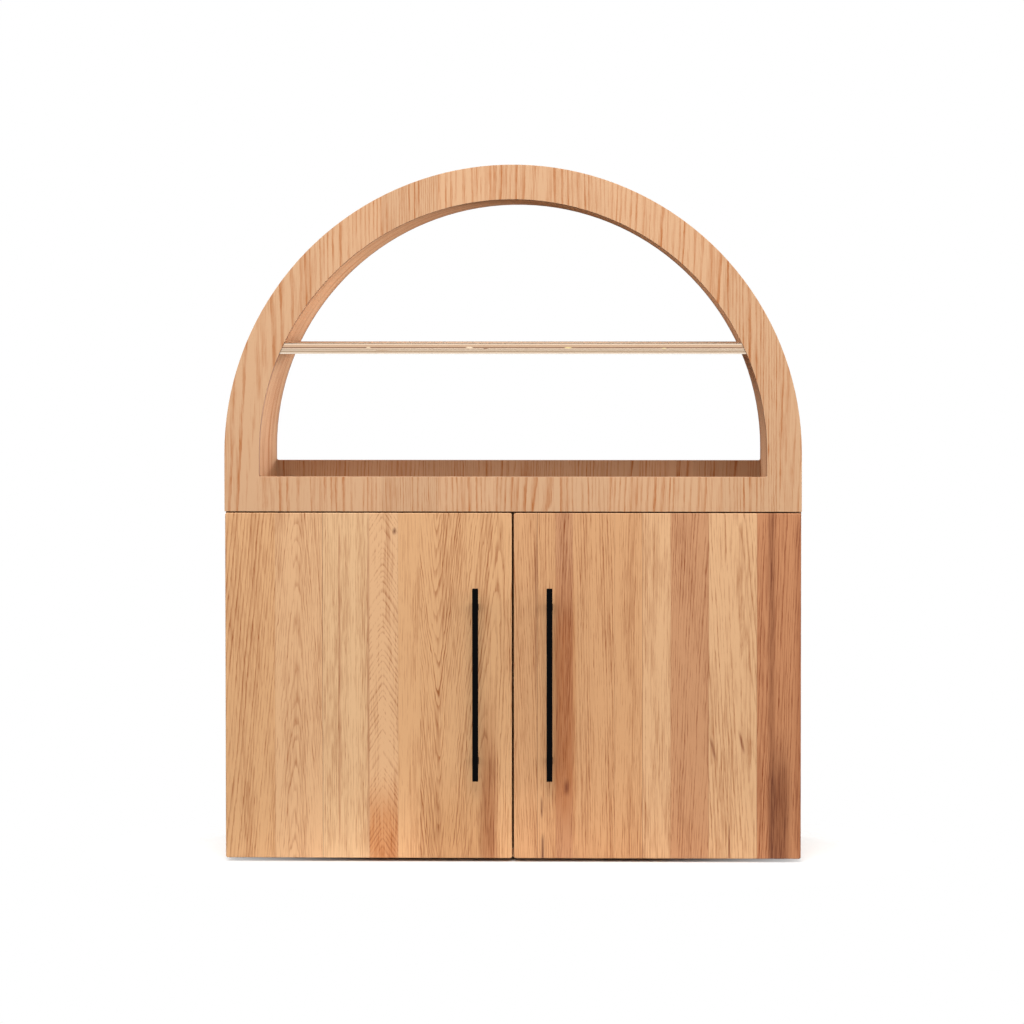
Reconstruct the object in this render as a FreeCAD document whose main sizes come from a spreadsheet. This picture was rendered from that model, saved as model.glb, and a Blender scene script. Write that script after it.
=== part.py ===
import FreeCAD, Part
import math
import os
import Sketcher

# An arched cabinet in oak: an open arch with one plywood shelf on a base cabinet with two doors.
# +Z is up and the doors face -Y. The origin is the middle of the cabinet's box, on the floor.
# Lengths are in millimetres and angles in degrees.

doc = FreeCAD.newDocument("arched_cabinet")
sheet = doc.addObject("Spreadsheet::Sheet", "sizes")


# A length or an angle, as a formula of the named sizes and as a number
class Size:
    def __init__(self, text, number):
        self.text = text
        self.number = number

    def __add__(self, other):
        other = as_size(other)
        return Size(f"({self.text} + {other.text})", self.number + other.number)

    def __sub__(self, other):
        other = as_size(other)
        return Size(f"({self.text} - {other.text})", self.number - other.number)

    def __mul__(self, other):
        other = as_size(other)
        return Size(f"({self.text} * {other.text})", self.number * other.number)

    def __truediv__(self, other):
        other = as_size(other)
        return Size(f"({self.text} / {other.text})", self.number / other.number)

    def __rmul__(self, other):
        return as_size(other) * self

    def __neg__(self):
        return Size(f"(0 - {self.text})", -self.number)


def as_size(item):
    return item if isinstance(item, Size) else Size(repr(item), item)


def root(square):
    return Size(f"sqrt({square.text})", math.sqrt(square.number))


def sine(angle):
    return Size(f"sin({angle.text})", math.sin(math.radians(angle.number)))


def cosine(angle):
    return Size(f"cos({angle.text})", math.cos(math.radians(angle.number)))


def angle_of_sine(share):
    return Size(f"(asin({share.text}) / 1 deg)", math.degrees(math.asin(share.number)))


sheet_row = 0


def size(alias, value):
    global sheet_row
    sheet_row += 1
    sheet.set(f"A{sheet_row}", alias)
    sheet.set(f"B{sheet_row}", str(value))
    sheet.setAlias(f"B{sheet_row}", alias)
    return Size(f"sizes.{alias}", value)


# The whole cabinet
width = size("cabinet_width", 1200)
depth = size("cabinet_depth", 350)
foot_height = size("foot_height", 8)
carcass_height = size("carcass_height", 723)
overrun = size("cut_overrun", 2)

# The arch on top
leg_height = size("arch_leg_height", 120)
ring_width = size("ring_width", 72)
front_rail_height = size("front_rail_height", 72)
back_rail_height = size("back_rail_height", 91)
arch_panel_thickness = size("arch_panel_thickness", 18)
skin_thickness = size("skin_thickness", 8)
hutch_floor_thickness = size("hutch_floor_thickness", 18)
block_thickness = size("block_thickness", 36)
glue_gap = size("glue_gap", 0.3)
rail_corner_round = size("rail_corner_round", 4)
panel_edge_round = size("panel_edge_round", 0.6)
display_shelf_thickness = size("display_shelf_thickness", 22.5)
display_shelf_rise = size("display_shelf_rise", 207.5)
display_shelf_setback = size("display_shelf_setback", 2)

# The base cabinet
board_thickness = size("board_thickness", 18)
back_panel_thickness = size("back_panel_thickness", 8)
rebate_width = size("rebate_width", 9)
inner_shelf_setback = size("inner_shelf_setback", 45)
inner_shelf_end_gap = size("inner_shelf_end_gap", 1)
shelf_pin_radius = size("shelf_pin_radius", 2.5)
shelf_pin_length = size("shelf_pin_length", 18)
shelf_pin_sunk = size("shelf_pin_sunk", 9)
shelf_hole_pitch = size("shelf_hole_pitch", 64)
shelf_hole_inset = size("shelf_hole_inset", 50)
shelf_holes_each_way = 2

# Dowels, screws and glides
dowel_radius = size("dowel_radius", 4)
dowel_length = size("dowel_length", 30)
dowel_sunk = size("dowel_sunk", 12)
dowel_inset = size("dowel_inset", 45)
dowel_end_gap = size("dowel_end_gap", 0.5)
fit_gap = size("fit_gap", 0.05)
shelf_dowel_length = size("shelf_dowel_length", 66)
shelf_dowel_in_shelf = size("shelf_dowel_in_shelf", 24)
shelf_dowel_inset = size("shelf_dowel_inset", 60)
floor_dowel_length = size("floor_dowel_length", 26)
floor_dowel_in_panel = size("floor_dowel_in_panel", 11)
floor_dowel_reach = size("floor_dowel_reach", 480)
back_screw_radius = size("back_screw_radius", 1.75)
back_screw_length = size("back_screw_length", 28)
back_screw_head_radius = size("back_screw_head_radius", 3.5)
back_screw_head_height = size("back_screw_head_height", 2)
back_screw_side_pitch = size("back_screw_side_pitch", 260)
back_screw_board_pitch = size("back_screw_board_pitch", 230)
hutch_screw_radius = size("hutch_screw_radius", 2.5)
hutch_screw_length = size("hutch_screw_length", 30)
hutch_screw_head_radius = size("hutch_screw_head_radius", 5)
hutch_screw_head_height = size("hutch_screw_head_height", 3)
hutch_screw_reach = size("hutch_screw_reach", 440)
hutch_screw_inset = size("hutch_screw_inset", 70)
glide_radius = size("glide_radius", 15)
glide_edge_round = size("glide_edge_round", 2)
glide_stem_radius = size("glide_stem_radius", 3)
glide_stem_length = size("glide_stem_length", 12)
glide_side_inset = size("glide_side_inset", 60)
glide_front_inset = size("glide_front_inset", 45)

# Doors and handles
door_thickness = size("door_thickness", 20)
door_back_gap = size("door_back_gap", 2.5)
door_side_reveal = size("door_side_reveal", 1)
door_centre_gap = size("door_centre_gap", 4)
door_top_gap = size("door_top_gap", 3)
door_corner_round = size("door_corner_round", 4)
door_front_round = size("door_front_round", 2)
door_back_round = size("door_back_round", 1.5)
bumper_radius = size("bumper_radius", 4)
bumper_thickness = size("bumper_thickness", 2.2)
bumper_inset = size("bumper_inset", 24)
handle_width = size("handle_width", 12)
handle_length = size("handle_length", 400)
handle_reach = size("handle_reach", 35)
handle_inset = size("handle_inset", 75)
handle_centre_height = size("handle_centre_height", 365)
handle_edge_bevel = size("handle_edge_bevel", 0.5)
post_spacing = size("post_spacing", 320)
handle_screw_radius = size("handle_screw_radius", 2)
handle_screw_length = size("handle_screw_length", 32)
handle_screw_head_radius = size("handle_screw_head_radius", 4)
handle_screw_head_height = size("handle_screw_head_height", 2)

# Cup hinges with one pivot: the cup is sunk in the door and a bent arm reaches into it
hinge_end_distance = size("hinge_end_distance", 100)
cup_radius = size("cup_radius", 17.5)
cup_edge_distance = size("cup_edge_distance", 3)
cup_depth = size("cup_depth", 13)
cup_wall = size("cup_wall", 1)
cup_floor = size("cup_floor", 0.8)
wing_thickness = size("wing_thickness", 1.2)
wing_length = size("wing_length", 62)
wing_width = size("wing_width", 18)
wing_offset = size("wing_offset", 3)
cup_screw_spacing = size("cup_screw_spacing", 48)
cup_screw_offset = size("cup_screw_offset", 6)
cup_screw_radius = size("cup_screw_radius", 1.75)
cup_screw_length = size("cup_screw_length", 13)
cup_screw_head_radius = size("cup_screw_head_radius", 3)
cup_screw_head_height = size("cup_screw_head_height", 1.6)
pivot_inset = size("pivot_inset", 7)
pivot_depth = size("pivot_depth", 8)
pin_radius = size("pin_radius", 1.2)
pin_length = size("pin_length", 15.4)
lug_gap = size("lug_gap", 0.3)
barrel_radius = size("barrel_radius", 2.2)
strip_thickness = size("strip_thickness", 2)
strip_width = size("strip_width", 8)
strip_drop = size("strip_drop", 11)
strip_side_gap = size("strip_side_gap", 1.1)
arm_start = size("arm_start", 8)
arm_length = size("arm_length", 56)
arm_width = size("arm_width", 14)
arm_height = size("arm_height", 8)
arm_wall = size("arm_wall", 1.5)
plate_thickness = size("plate_thickness", 2.5)
plate_length = size("plate_length", 40)
plate_body_width = size("plate_body_width", 18)
plate_wing_length = size("plate_wing_length", 50)
plate_wing_width = size("plate_wing_width", 12)
plate_set_back = size("plate_set_back", 37)
plate_screw_spacing = size("plate_screw_spacing", 32)
plate_screw_radius = size("plate_screw_radius", 2.5)
plate_screw_length = size("plate_screw_length", 14)
plate_screw_head_radius = size("plate_screw_head_radius", 4)
plate_screw_head_height = size("plate_screw_head_height", 2)
arm_screw_radius = size("arm_screw_radius", 2)
arm_screw_head_radius = size("arm_screw_head_radius", 3.5)
arm_screw_head_height = size("arm_screw_head_height", 1.8)
arm_screw_tip_gap = size("arm_screw_tip_gap", 0.3)
arm_screw_set_back = size("arm_screw_set_back", 49)

# Cross recess of a screw: reach and half width as shares of the head's radius, depth of the head's height
recess_reach_share = 0.55
recess_blade_share = 0.125
recess_depth_share = 0.55

# Levels and faces that follow from the sizes above
front = (handle_reach - depth) / 2
back = (handle_reach + depth) / 2
carcass_front = front + door_thickness + door_back_gap
carcass_back = back - back_panel_thickness
carcass_depth = carcass_back - carcass_front
carcass_top = foot_height + carcass_height
inner_half_width = width / 2 - board_thickness
outer_radius = width / 2
inner_radius = width / 2 - ring_width
spring_level = carcass_top + leg_height
arch_core_front = front + arch_panel_thickness
arch_core_depth = depth - 2 * arch_panel_thickness
hutch_floor_top = carcass_top + hutch_floor_thickness
zero = Size("0", 0)

turned = {
    "x": FreeCAD.Rotation(FreeCAD.Vector(0, 1, 0), 90),
    "-x": FreeCAD.Rotation(FreeCAD.Vector(0, 1, 0), -90),
    "y": FreeCAD.Rotation(FreeCAD.Vector(1, 0, 0), -90),
    "-y": FreeCAD.Rotation(FreeCAD.Vector(1, 0, 0), 90),
    "z": FreeCAD.Rotation(),
    "-z": FreeCAD.Rotation(FreeCAD.Vector(1, 0, 0), 180),
}
pieces = []


def kept(piece):
    pieces.append(piece)
    return piece


def placed(thing, x, y, z, rotation=None):
    if rotation:
        thing.Placement = FreeCAD.Placement(FreeCAD.Vector(), rotation)
    for axis, place in zip("xyz", (x, y, z)):
        thing.setExpression(f"Placement.Base.{axis}", as_size(place).text)
    return thing


def box(name, lengths, corner):
    block = doc.addObject("Part::Box", name)
    for side, length in zip(("Length", "Width", "Height"), lengths):
        block.setExpression(side, length.text)
    return placed(block, *corner)


def rod(name, radius, length, start, along="z"):
    bar = doc.addObject("Part::Cylinder", name)
    bar.setExpression("Radius", radius.text)
    bar.setExpression("Height", length.text)
    return placed(bar, *start, turned[along])


def joined(name, *solids):
    whole = doc.addObject("Part::MultiFuse", name)
    whole.Shapes = list(solids)
    return whole


def cut(name, base, *tools):
    rest = doc.addObject("Part::Cut", name)
    rest.Base = base
    rest.Tool = tools[0] if len(tools) == 1 else joined(f"{name}_tools", *tools)
    return rest


def group(name, solids):
    whole = doc.addObject("Part::Compound", name)
    whole.Links = list(solids)
    return whole


def copies(name, master, places, along="z"):
    solids = []
    for place in places:
        copy = doc.addObject("App::Link", f"{name}_copy")
        copy.LinkedObject = master
        solids.append(placed(copy, *place, turned[along]))
    return group(name, solids)


def mirrored(name, source):
    twin = doc.addObject("Part::Mirroring", name)
    twin.Source = source
    twin.Normal = FreeCAD.Vector(1, 0, 0)
    return twin


def sketch_on(body, role, name):
    drawing = body.newObject("Sketcher::SketchObject", name)
    plane = next(item for item in body.Origin.OriginFeatures if item.Role == role)
    drawing.AttachmentSupport = [(plane, "")]
    drawing.MapMode = "FlatFace"
    return drawing


def measured(drawing, kind, references, length):
    index = drawing.addConstraint(Sketcher.Constraint(kind, *references, length.number))
    drawing.setExpression(f"Constraints[{index}]", length.text)


def pinned(drawing, curve, point, x, y):
    for kind, axis, place in (("DistanceX", -2, x), ("DistanceY", -1, y)):
        if place.number == 0:
            drawing.addConstraint(Sketcher.Constraint("PointOnObject", curve, point, axis))
        elif place.number > 0:
            measured(drawing, kind, (-1, 1, curve, point), place)
        else:
            measured(drawing, kind, (curve, point, -1, 1), -place)


def outline(drawing, points):
    spots = [FreeCAD.Vector(x.number, y.number, 0) for x, y in points]
    first = None
    for here, there in zip(spots, spots[1:] + spots[:1]):
        line = drawing.addGeometry(Part.LineSegment(here, there), False)
        first = line if first is None else first
        if line > first:
            drawing.addConstraint(Sketcher.Constraint("Coincident", line - 1, 2, line, 1))
    drawing.addConstraint(Sketcher.Constraint("Coincident", line, 2, first, 1))
    for step, (x, y) in enumerate(points):
        pinned(drawing, first + step, 1, x, y)


def rectangle(drawing, left, low, right, high):
    outline(drawing, ((left, low), (right, low), (right, high), (left, high)))


def circle(drawing, x, y, radius):
    centre = FreeCAD.Vector(x.number, y.number, 0)
    curve = drawing.addGeometry(Part.Circle(centre, FreeCAD.Vector(0, 0, 1), radius.number), False)
    pinned(drawing, curve, 3, x, y)
    measured(drawing, "Radius", (curve,), radius)


def arch(drawing, radius, centre_height, straight):
    # A half circle that stands on two straight legs, closed along the bottom
    foot = centre_height.number - straight.number
    springing = FreeCAD.Vector(0, centre_height.number, 0)
    right = radius.number
    curve = Part.ArcOfCircle(Part.Circle(springing, FreeCAD.Vector(0, 0, 1), right), 0, math.pi)
    bow = drawing.addGeometry(curve, False)
    corners = [FreeCAD.Vector(*place, 0) for place in (
        (-right, centre_height.number), (-right, foot), (right, foot), (right, centre_height.number))]
    left_leg = drawing.addGeometry(Part.LineSegment(corners[0], corners[1]), False)
    base = drawing.addGeometry(Part.LineSegment(corners[1], corners[2]), False)
    right_leg = drawing.addGeometry(Part.LineSegment(corners[2], corners[3]), False)
    for end, start in (((bow, 2), (left_leg, 1)), ((left_leg, 2), (base, 1)),
                       ((base, 2), (right_leg, 1)), ((right_leg, 2), (bow, 1))):
        drawing.addConstraint(Sketcher.Constraint("Coincident", *end, *start))
    drawing.addConstraint(Sketcher.Constraint("Vertical", left_leg))
    drawing.addConstraint(Sketcher.Constraint("Vertical", right_leg))
    drawing.addConstraint(Sketcher.Constraint("Horizontal", base))
    drawing.addConstraint(Sketcher.Constraint("Horizontal", bow, 1, bow, 3))
    drawing.addConstraint(Sketcher.Constraint("Horizontal", bow, 2, bow, 3))
    drawing.addConstraint(Sketcher.Constraint("PointOnObject", bow, 3, -2))
    measured(drawing, "Radius", (bow,), radius)
    measured(drawing, "DistanceY", (-1, 1, bow, 3), centre_height)
    measured(drawing, "DistanceY", (base, 1, bow, 3), straight)


def pad(body, drawing, length, backwards=False, both_ways=False):
    block = body.newObject("PartDesign::Pad", f"{drawing.Name}_pad")
    block.Profile = drawing
    block.setExpression("Length", length.text)
    block.Reversed = backwards
    block.Midplane = both_ways
    body.Tip = block
    doc.recompute()
    return block


def pocket(body, drawing, length, backwards=False):
    volume = body.Shape.Volume
    hole = body.newObject("PartDesign::Pocket", f"{drawing.Name}_pocket")
    hole.Profile = drawing
    hole.setExpression("Length", length.text)
    hole.Reversed = backwards
    body.Tip = hole
    doc.recompute()
    if body.Shape.Volume >= volume:
        raise RuntimeError(f"{hole.Name} cuts nothing")
    return hole


def eased(body, name, edges, radius, kind="Fillet"):
    before = body.Tip
    easing = body.newObject(f"PartDesign::{kind}", name)
    easing.Base = (before, edges)
    easing.setExpression("Radius" if kind == "Fillet" else "Size", radius.text)
    body.Tip = easing
    doc.recompute()


def edges_where(body, wanted):
    found = []
    for number, edge in enumerate(body.Shape.Edges, 1):
        if wanted(edge.BoundBox):
            found.append(f"Edge{number}")
    return found


def screw(name, radius, length, head_radius, head_height, flat_head=False, recessed=True):
    # The head's bearing face is at zero for a pan head, and its flat top for a countersunk head
    body = doc.addObject("PartDesign::Body", name)
    half = sketch_on(body, "XZ_Plane", f"{name}_half")
    under = -head_height if flat_head else zero
    head_top = zero if flat_head else head_height
    points = [(zero, head_top), (head_radius, head_top)]
    if not flat_head:
        points.append((head_radius, under))
    points += [(radius, under), (radius, radius - length), (zero, -length)]
    outline(half, points)
    turn = body.newObject("PartDesign::Revolution", f"{name}_turned")
    turn.Profile = half
    turn.ReferenceAxis = (half, ["V_Axis"])
    body.Tip = turn
    doc.recompute()
    if not recessed:
        return body
    slot = sketch_on(body, "XY_Plane", f"{name}_cross")
    slot.AttachmentOffset = FreeCAD.Placement(FreeCAD.Vector(0, 0, head_top.number), FreeCAD.Rotation())
    slot.setExpression("AttachmentOffset.Base.z", head_top.text)
    arm = head_radius * recess_reach_share
    blade = head_radius * recess_blade_share
    rim = ((-arm, -blade), (-blade, -blade), (-blade, -arm), (blade, -arm), (blade, -blade), (arm, -blade),
           (arm, blade), (blade, blade), (blade, arm), (-blade, arm), (-blade, blade), (-arm, blade))
    outline(slot, rim)
    pocket(body, slot, head_height * recess_depth_share)
    return body


def side_rods(name, radius, length, spots):
    return [rod(f"{name}_hole", radius, length, spot, "x") for spot in spots]


# Base cabinet: two sides, with a top and a bottom board doweled between them
depth_spots = (carcass_front + dowel_inset, (carcass_front + carcass_back) / 2, carcass_back - dowel_inset)
board_middles = (foot_height + board_thickness / 2, carcass_top - board_thickness / 2)
dowel_start = -inner_half_width - dowel_sunk
joint_spots = [(y, z) for z in board_middles for y in depth_spots]
hole_start = -inner_half_width - shelf_pin_sunk - dowel_end_gap
shelf_underside = foot_height + (carcass_height - board_thickness) / 2
pin_level = shelf_underside - shelf_pin_radius
column_spots = (carcass_front + inner_shelf_setback + shelf_hole_inset, carcass_back - shelf_hole_inset)
hinge_levels = (hinge_end_distance, carcass_height - door_top_gap - hinge_end_distance)
plate_row = carcass_front + plate_set_back
plate_screw_start = -inner_half_width - plate_screw_length + plate_thickness - dowel_end_gap

side_holes = side_rods(
    "carcass_dowel", dowel_radius + fit_gap, dowel_sunk + dowel_end_gap + overrun,
    [(dowel_start - dowel_end_gap, y, z) for y, z in joint_spots])
side_holes += side_rods(
    "shelf_pin", shelf_pin_radius + fit_gap, shelf_pin_sunk + dowel_end_gap + overrun,
    [(hole_start, y, pin_level + step * shelf_hole_pitch)
     for y in column_spots for step in range(-shelf_holes_each_way, shelf_holes_each_way + 1)])
side_holes += side_rods(
    "plate_screw", plate_screw_radius + fit_gap, plate_screw_length + overrun,
    [(plate_screw_start, plate_row, foot_height + level + side * plate_screw_spacing / 2)
     for level in hinge_levels for side in (-1, 1)])
side_blank = box("side_blank", (board_thickness, carcass_depth + back_panel_thickness, carcass_height),
                 (-width / 2, carcass_front, foot_height))
rebate = box("rebate", (rebate_width + overrun, back_panel_thickness + overrun, carcass_height + 2 * overrun),
             (-inner_half_width - rebate_width, carcass_back, foot_height - overrun))

back_half_width = inner_half_width + rebate_width
back_screw_row = inner_half_width + rebate_width / 2
back_screw_spots = [(side * back_screw_row, carcass_top - carcass_height / 2 + step * back_screw_side_pitch)
                    for side in (-1, 1) for step in (-1, 0, 1)]
back_screw_spots += [(step * back_screw_board_pitch, level)
                     for level in board_middles for step in range(-2, 3)]
back_screw = screw("back_screw", back_screw_radius, back_screw_length, back_screw_head_radius,
                   back_screw_head_height, flat_head=True)
back_screw_seat = screw("back_screw_seat", back_screw_radius + fit_gap, back_screw_length + dowel_end_gap,
                        back_screw_head_radius + fit_gap, back_screw_head_height + fit_gap,
                        flat_head=True, recessed=False)


def screw_holes(name, spots):
    return [rod(f"{name}_hole", back_screw_radius + fit_gap, back_screw_length + dowel_end_gap,
                (x, back - back_screw_length - dowel_end_gap, z), "y") for x, z in spots]


left_spots = [spot for spot in back_screw_spots if spot[0].number < -inner_half_width.number]
left_side_panel = kept(cut("left_side_panel", side_blank, rebate, *side_holes,
                           *screw_holes("side_back_screw", left_spots)))
kept(mirrored("right_side_panel", left_side_panel))


def edge_holes(name, level):
    holes = []
    for y in depth_spots:
        length = dowel_length - dowel_sunk + dowel_end_gap + overrun
        start = inner_half_width + overrun
        holes.append(rod(f"{name}_hole", dowel_radius + fit_gap, length, (-start, y, level), "x"))
        holes.append(rod(f"{name}_hole", dowel_radius + fit_gap, length, (start, y, level), "-x"))
    spots = [spot for spot in back_screw_spots if spot[1] is level]
    return holes + screw_holes(name, spots)


glide_spots = [(x, y) for x in (-width / 2 + glide_side_inset, zero, width / 2 - glide_side_inset)
               for y in (carcass_front + glide_front_inset, carcass_back - glide_front_inset)]
hutch_screw_spots = [(x, y) for x in (-hutch_screw_reach, zero, hutch_screw_reach)
                     for y in (carcass_front + hutch_screw_inset, carcass_back - hutch_screw_inset)]
bottom_blank = box("bottom_blank", (2 * inner_half_width, carcass_depth, board_thickness),
                   (-inner_half_width, carcass_front, foot_height))
stem_holes = [rod("glide_stem_hole", glide_stem_radius + fit_gap, glide_stem_length + dowel_end_gap + overrun,
                  (x, y, foot_height - overrun)) for x, y in glide_spots]
kept(cut("base_bottom_board", bottom_blank, *stem_holes, *edge_holes("bottom_board", board_middles[0])))
top_blank = box("top_blank", (2 * inner_half_width, carcass_depth, board_thickness),
                (-inner_half_width, carcass_front, carcass_top - board_thickness))
through_holes = [rod("hutch_screw_hole", hutch_screw_radius + fit_gap, board_thickness + 2 * overrun,
                     (x, y, carcass_top - board_thickness - overrun)) for x, y in hutch_screw_spots]
kept(cut("base_top_board", top_blank, *through_holes, *edge_holes("top_board", board_middles[1])))

carcass_dowels = [rod("carcass_dowel", dowel_radius, dowel_length, (dowel_start, y, z), "x")
                  for y, z in joint_spots]
carcass_dowels += [rod("carcass_dowel", dowel_radius, dowel_length, (-dowel_start, y, z), "-x")
                   for y, z in joint_spots]
kept(group("carcass_dowels", carcass_dowels))

back_blank = box("back_blank", (2 * back_half_width, back_panel_thickness, carcass_height),
                 (-back_half_width, carcass_back, foot_height))
seats = copies("back_screw_seats", back_screw_seat, [(x, back, z) for x, z in back_screw_spots], "y")
kept(cut("base_back_panel", back_blank, seats))
kept(copies("back_panel_screws", back_screw, [(x, back, z) for x, z in back_screw_spots], "y"))

# Inner shelf on four pins
shelf_half_width = inner_half_width - inner_shelf_end_gap
inner_shelf_depth = carcass_depth - inner_shelf_setback - glue_gap
kept(box("inner_shelf", (2 * shelf_half_width, inner_shelf_depth, board_thickness),
         (-shelf_half_width, carcass_front + inner_shelf_setback, shelf_underside)))
pin_start = -inner_half_width - shelf_pin_sunk
shelf_pins = [rod("shelf_pin", shelf_pin_radius, shelf_pin_length, (pin_start, y, pin_level), "x")
              for y in column_spots]
shelf_pins += [rod("shelf_pin", shelf_pin_radius, shelf_pin_length, (-pin_start, y, pin_level), "-x")
               for y in column_spots]
kept(group("inner_shelf_pins", shelf_pins))

# Floor glides: a round foot with a stem that is pressed into the bottom board
glide = doc.addObject("PartDesign::Body", "glide")
glide_half = sketch_on(glide, "XZ_Plane", "glide_half")
outline(glide_half, (
    (zero, zero), (glide_radius - glide_edge_round, zero), (glide_radius, glide_edge_round),
    (glide_radius, foot_height), (glide_stem_radius, foot_height),
    (glide_stem_radius, foot_height + glide_stem_length), (zero, foot_height + glide_stem_length)))
glide_turn = glide.newObject("PartDesign::Revolution", "glide_turned")
glide_turn.Profile = glide_half
glide_turn.ReferenceAxis = (glide_half, ["V_Axis"])
glide.Tip = glide_turn
kept(copies("floor_glides", glide, [(x, y, zero) for x, y in glide_spots]))


# Arch: a front and a rear face board, with a bent skin outside and a bent lining inside between them
def floor_dowel_holes(name, y):
    return [rod(f"{name}_hole", dowel_radius + fit_gap, floor_dowel_length + 2 * dowel_end_gap,
                (x, y, carcass_top + hutch_floor_thickness / 2), "y") for x in floor_dowel_columns]


floor_dowel_columns = (-floor_dowel_reach, zero, floor_dowel_reach)
front_dowel_start = arch_core_front - floor_dowel_in_panel
back_dowel_start = back - arch_panel_thickness + floor_dowel_in_panel - floor_dowel_length


def arch_face(name, y, rail_height, faces_front, holes):
    body = doc.addObject("PartDesign::Body", f"{name}_blank")
    face = sketch_on(body, "XZ_Plane", f"{name}_face")
    arch(face, outer_radius, leg_height, leg_height)
    arch(face, inner_radius, leg_height, leg_height - rail_height)
    pad(body, face, arch_panel_thickness, backwards=True)
    middle = arch_panel_thickness.number / 2
    rim = outer_radius.number - ring_width.number / 2
    half_leg = (rail_height.number + leg_height.number) / 2

    def opening_corner(edge):
        return edge.YLength > middle and edge.ZMax < half_leg and -rim < edge.XMin and edge.XMax < rim

    def shown_edge(edge):
        return edge.YMax < middle if faces_front else edge.YMin > middle

    eased(body, f"{name}_corners", edges_where(body, opening_corner), rail_corner_round)
    eased(body, f"{name}_edges", edges_where(body, shown_edge), panel_edge_round)
    placed(body, zero, y, carcass_top)
    return kept(cut(name, body, *holes))


def arch_shell(name, outside, thickness, foot):
    body = doc.addObject("PartDesign::Body", name)
    solid = sketch_on(body, "XZ_Plane", f"{name}_outside")
    arch(solid, outside, leg_height, leg_height - foot)
    pad(body, solid, arch_core_depth, backwards=True)
    hollow = sketch_on(body, "XZ_Plane", f"{name}_inside")
    arch(hollow, outside - thickness, leg_height, leg_height + overrun)
    pocket(body, hollow, arch_core_depth)
    return placed(body, zero, arch_core_front, carcass_top)


arch_face("front_arch_panel", front, front_rail_height, True,
          floor_dowel_holes("front_panel", front_dowel_start - dowel_end_gap))
arch_face("back_arch_panel", back - arch_panel_thickness, back_rail_height, False,
          floor_dowel_holes("back_panel", back_dowel_start - dowel_end_gap))
kept(arch_shell("arch_outer_skin", outer_radius, skin_thickness, zero))
lining_radius = inner_radius + skin_thickness
lining_blank = arch_shell("lining_blank", lining_radius, skin_thickness, hutch_floor_thickness)

# Tray floor of the arch, screwed down on the base cabinet
floor_half_width = outer_radius - skin_thickness
floor_blank = box("floor_blank", (2 * floor_half_width, arch_core_depth, hutch_floor_thickness),
                  (-floor_half_width, arch_core_front, carcass_top))
blind_holes = [rod("hutch_screw_end", hutch_screw_radius + fit_gap,
                   hutch_screw_length - board_thickness + dowel_end_gap + overrun,
                   (x, y, carcass_top - overrun)) for x, y in hutch_screw_spots]
kept(cut("hutch_floor_board", floor_blank, *blind_holes,
         *floor_dowel_holes("floor_front", front_dowel_start - dowel_end_gap),
         *floor_dowel_holes("floor_back", back_dowel_start - dowel_end_gap)))
kept(group("hutch_floor_dowels", [
    rod("floor_dowel", dowel_radius, floor_dowel_length, (x, y, carcass_top + hutch_floor_thickness / 2), "y")
    for x in floor_dowel_columns for y in (front_dowel_start, back_dowel_start)]))
hutch_screw = screw("hutch_screw", hutch_screw_radius, hutch_screw_length, hutch_screw_head_radius,
                    hutch_screw_head_height)
kept(copies("hutch_screws", hutch_screw,
            [(x, y, carcass_top - board_thickness) for x, y in hutch_screw_spots], "-z"))

# Plywood shelf, its ends cut to the curve, on dowels that reach through the lining into the blocks
shelf_underside_level = spring_level + display_shelf_rise
shelf_middle = display_shelf_rise + display_shelf_thickness / 2
shelf_end = root(inner_radius * inner_radius - shelf_middle * shelf_middle)
shelf_dowel_start = -shelf_end - shelf_dowel_length + shelf_dowel_in_shelf
shelf_dowel_rows = (front + shelf_dowel_inset, back - shelf_dowel_inset)
shelf_depth = depth - 2 * display_shelf_setback


def shelf_dowels(name, extra_radius, extra_length):
    length = shelf_dowel_length + 2 * extra_length
    start = shelf_dowel_start - extra_length
    level = spring_level + shelf_middle
    bars = []
    for y in shelf_dowel_rows:
        bars.append(rod(name, dowel_radius + extra_radius, length, (start, y, level), "x"))
        bars.append(rod(name, dowel_radius + extra_radius, length, (-start, y, level), "-x"))
    return bars


shelf_board = box("shelf_board", (2 * inner_radius, shelf_depth, display_shelf_thickness),
                  (-inner_radius, front + display_shelf_setback, shelf_underside_level))
shelf_curve = rod("shelf_curve", inner_radius - glue_gap, depth, (zero, front, spring_level), "y")
shelf_blank = doc.addObject("Part::Common", "shelf_blank")
shelf_blank.Base = shelf_board
shelf_blank.Tool = shelf_curve
kept(cut("plywood_shelf", shelf_blank, *shelf_dowels("shelf_dowel_hole", fit_gap, dowel_end_gap)))
kept(cut("arch_inner_lining", lining_blank, *shelf_dowels("lining_hole", fit_gap, dowel_end_gap)))
kept(group("shelf_dowels", shelf_dowels("shelf_dowel", zero, zero)))

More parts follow.
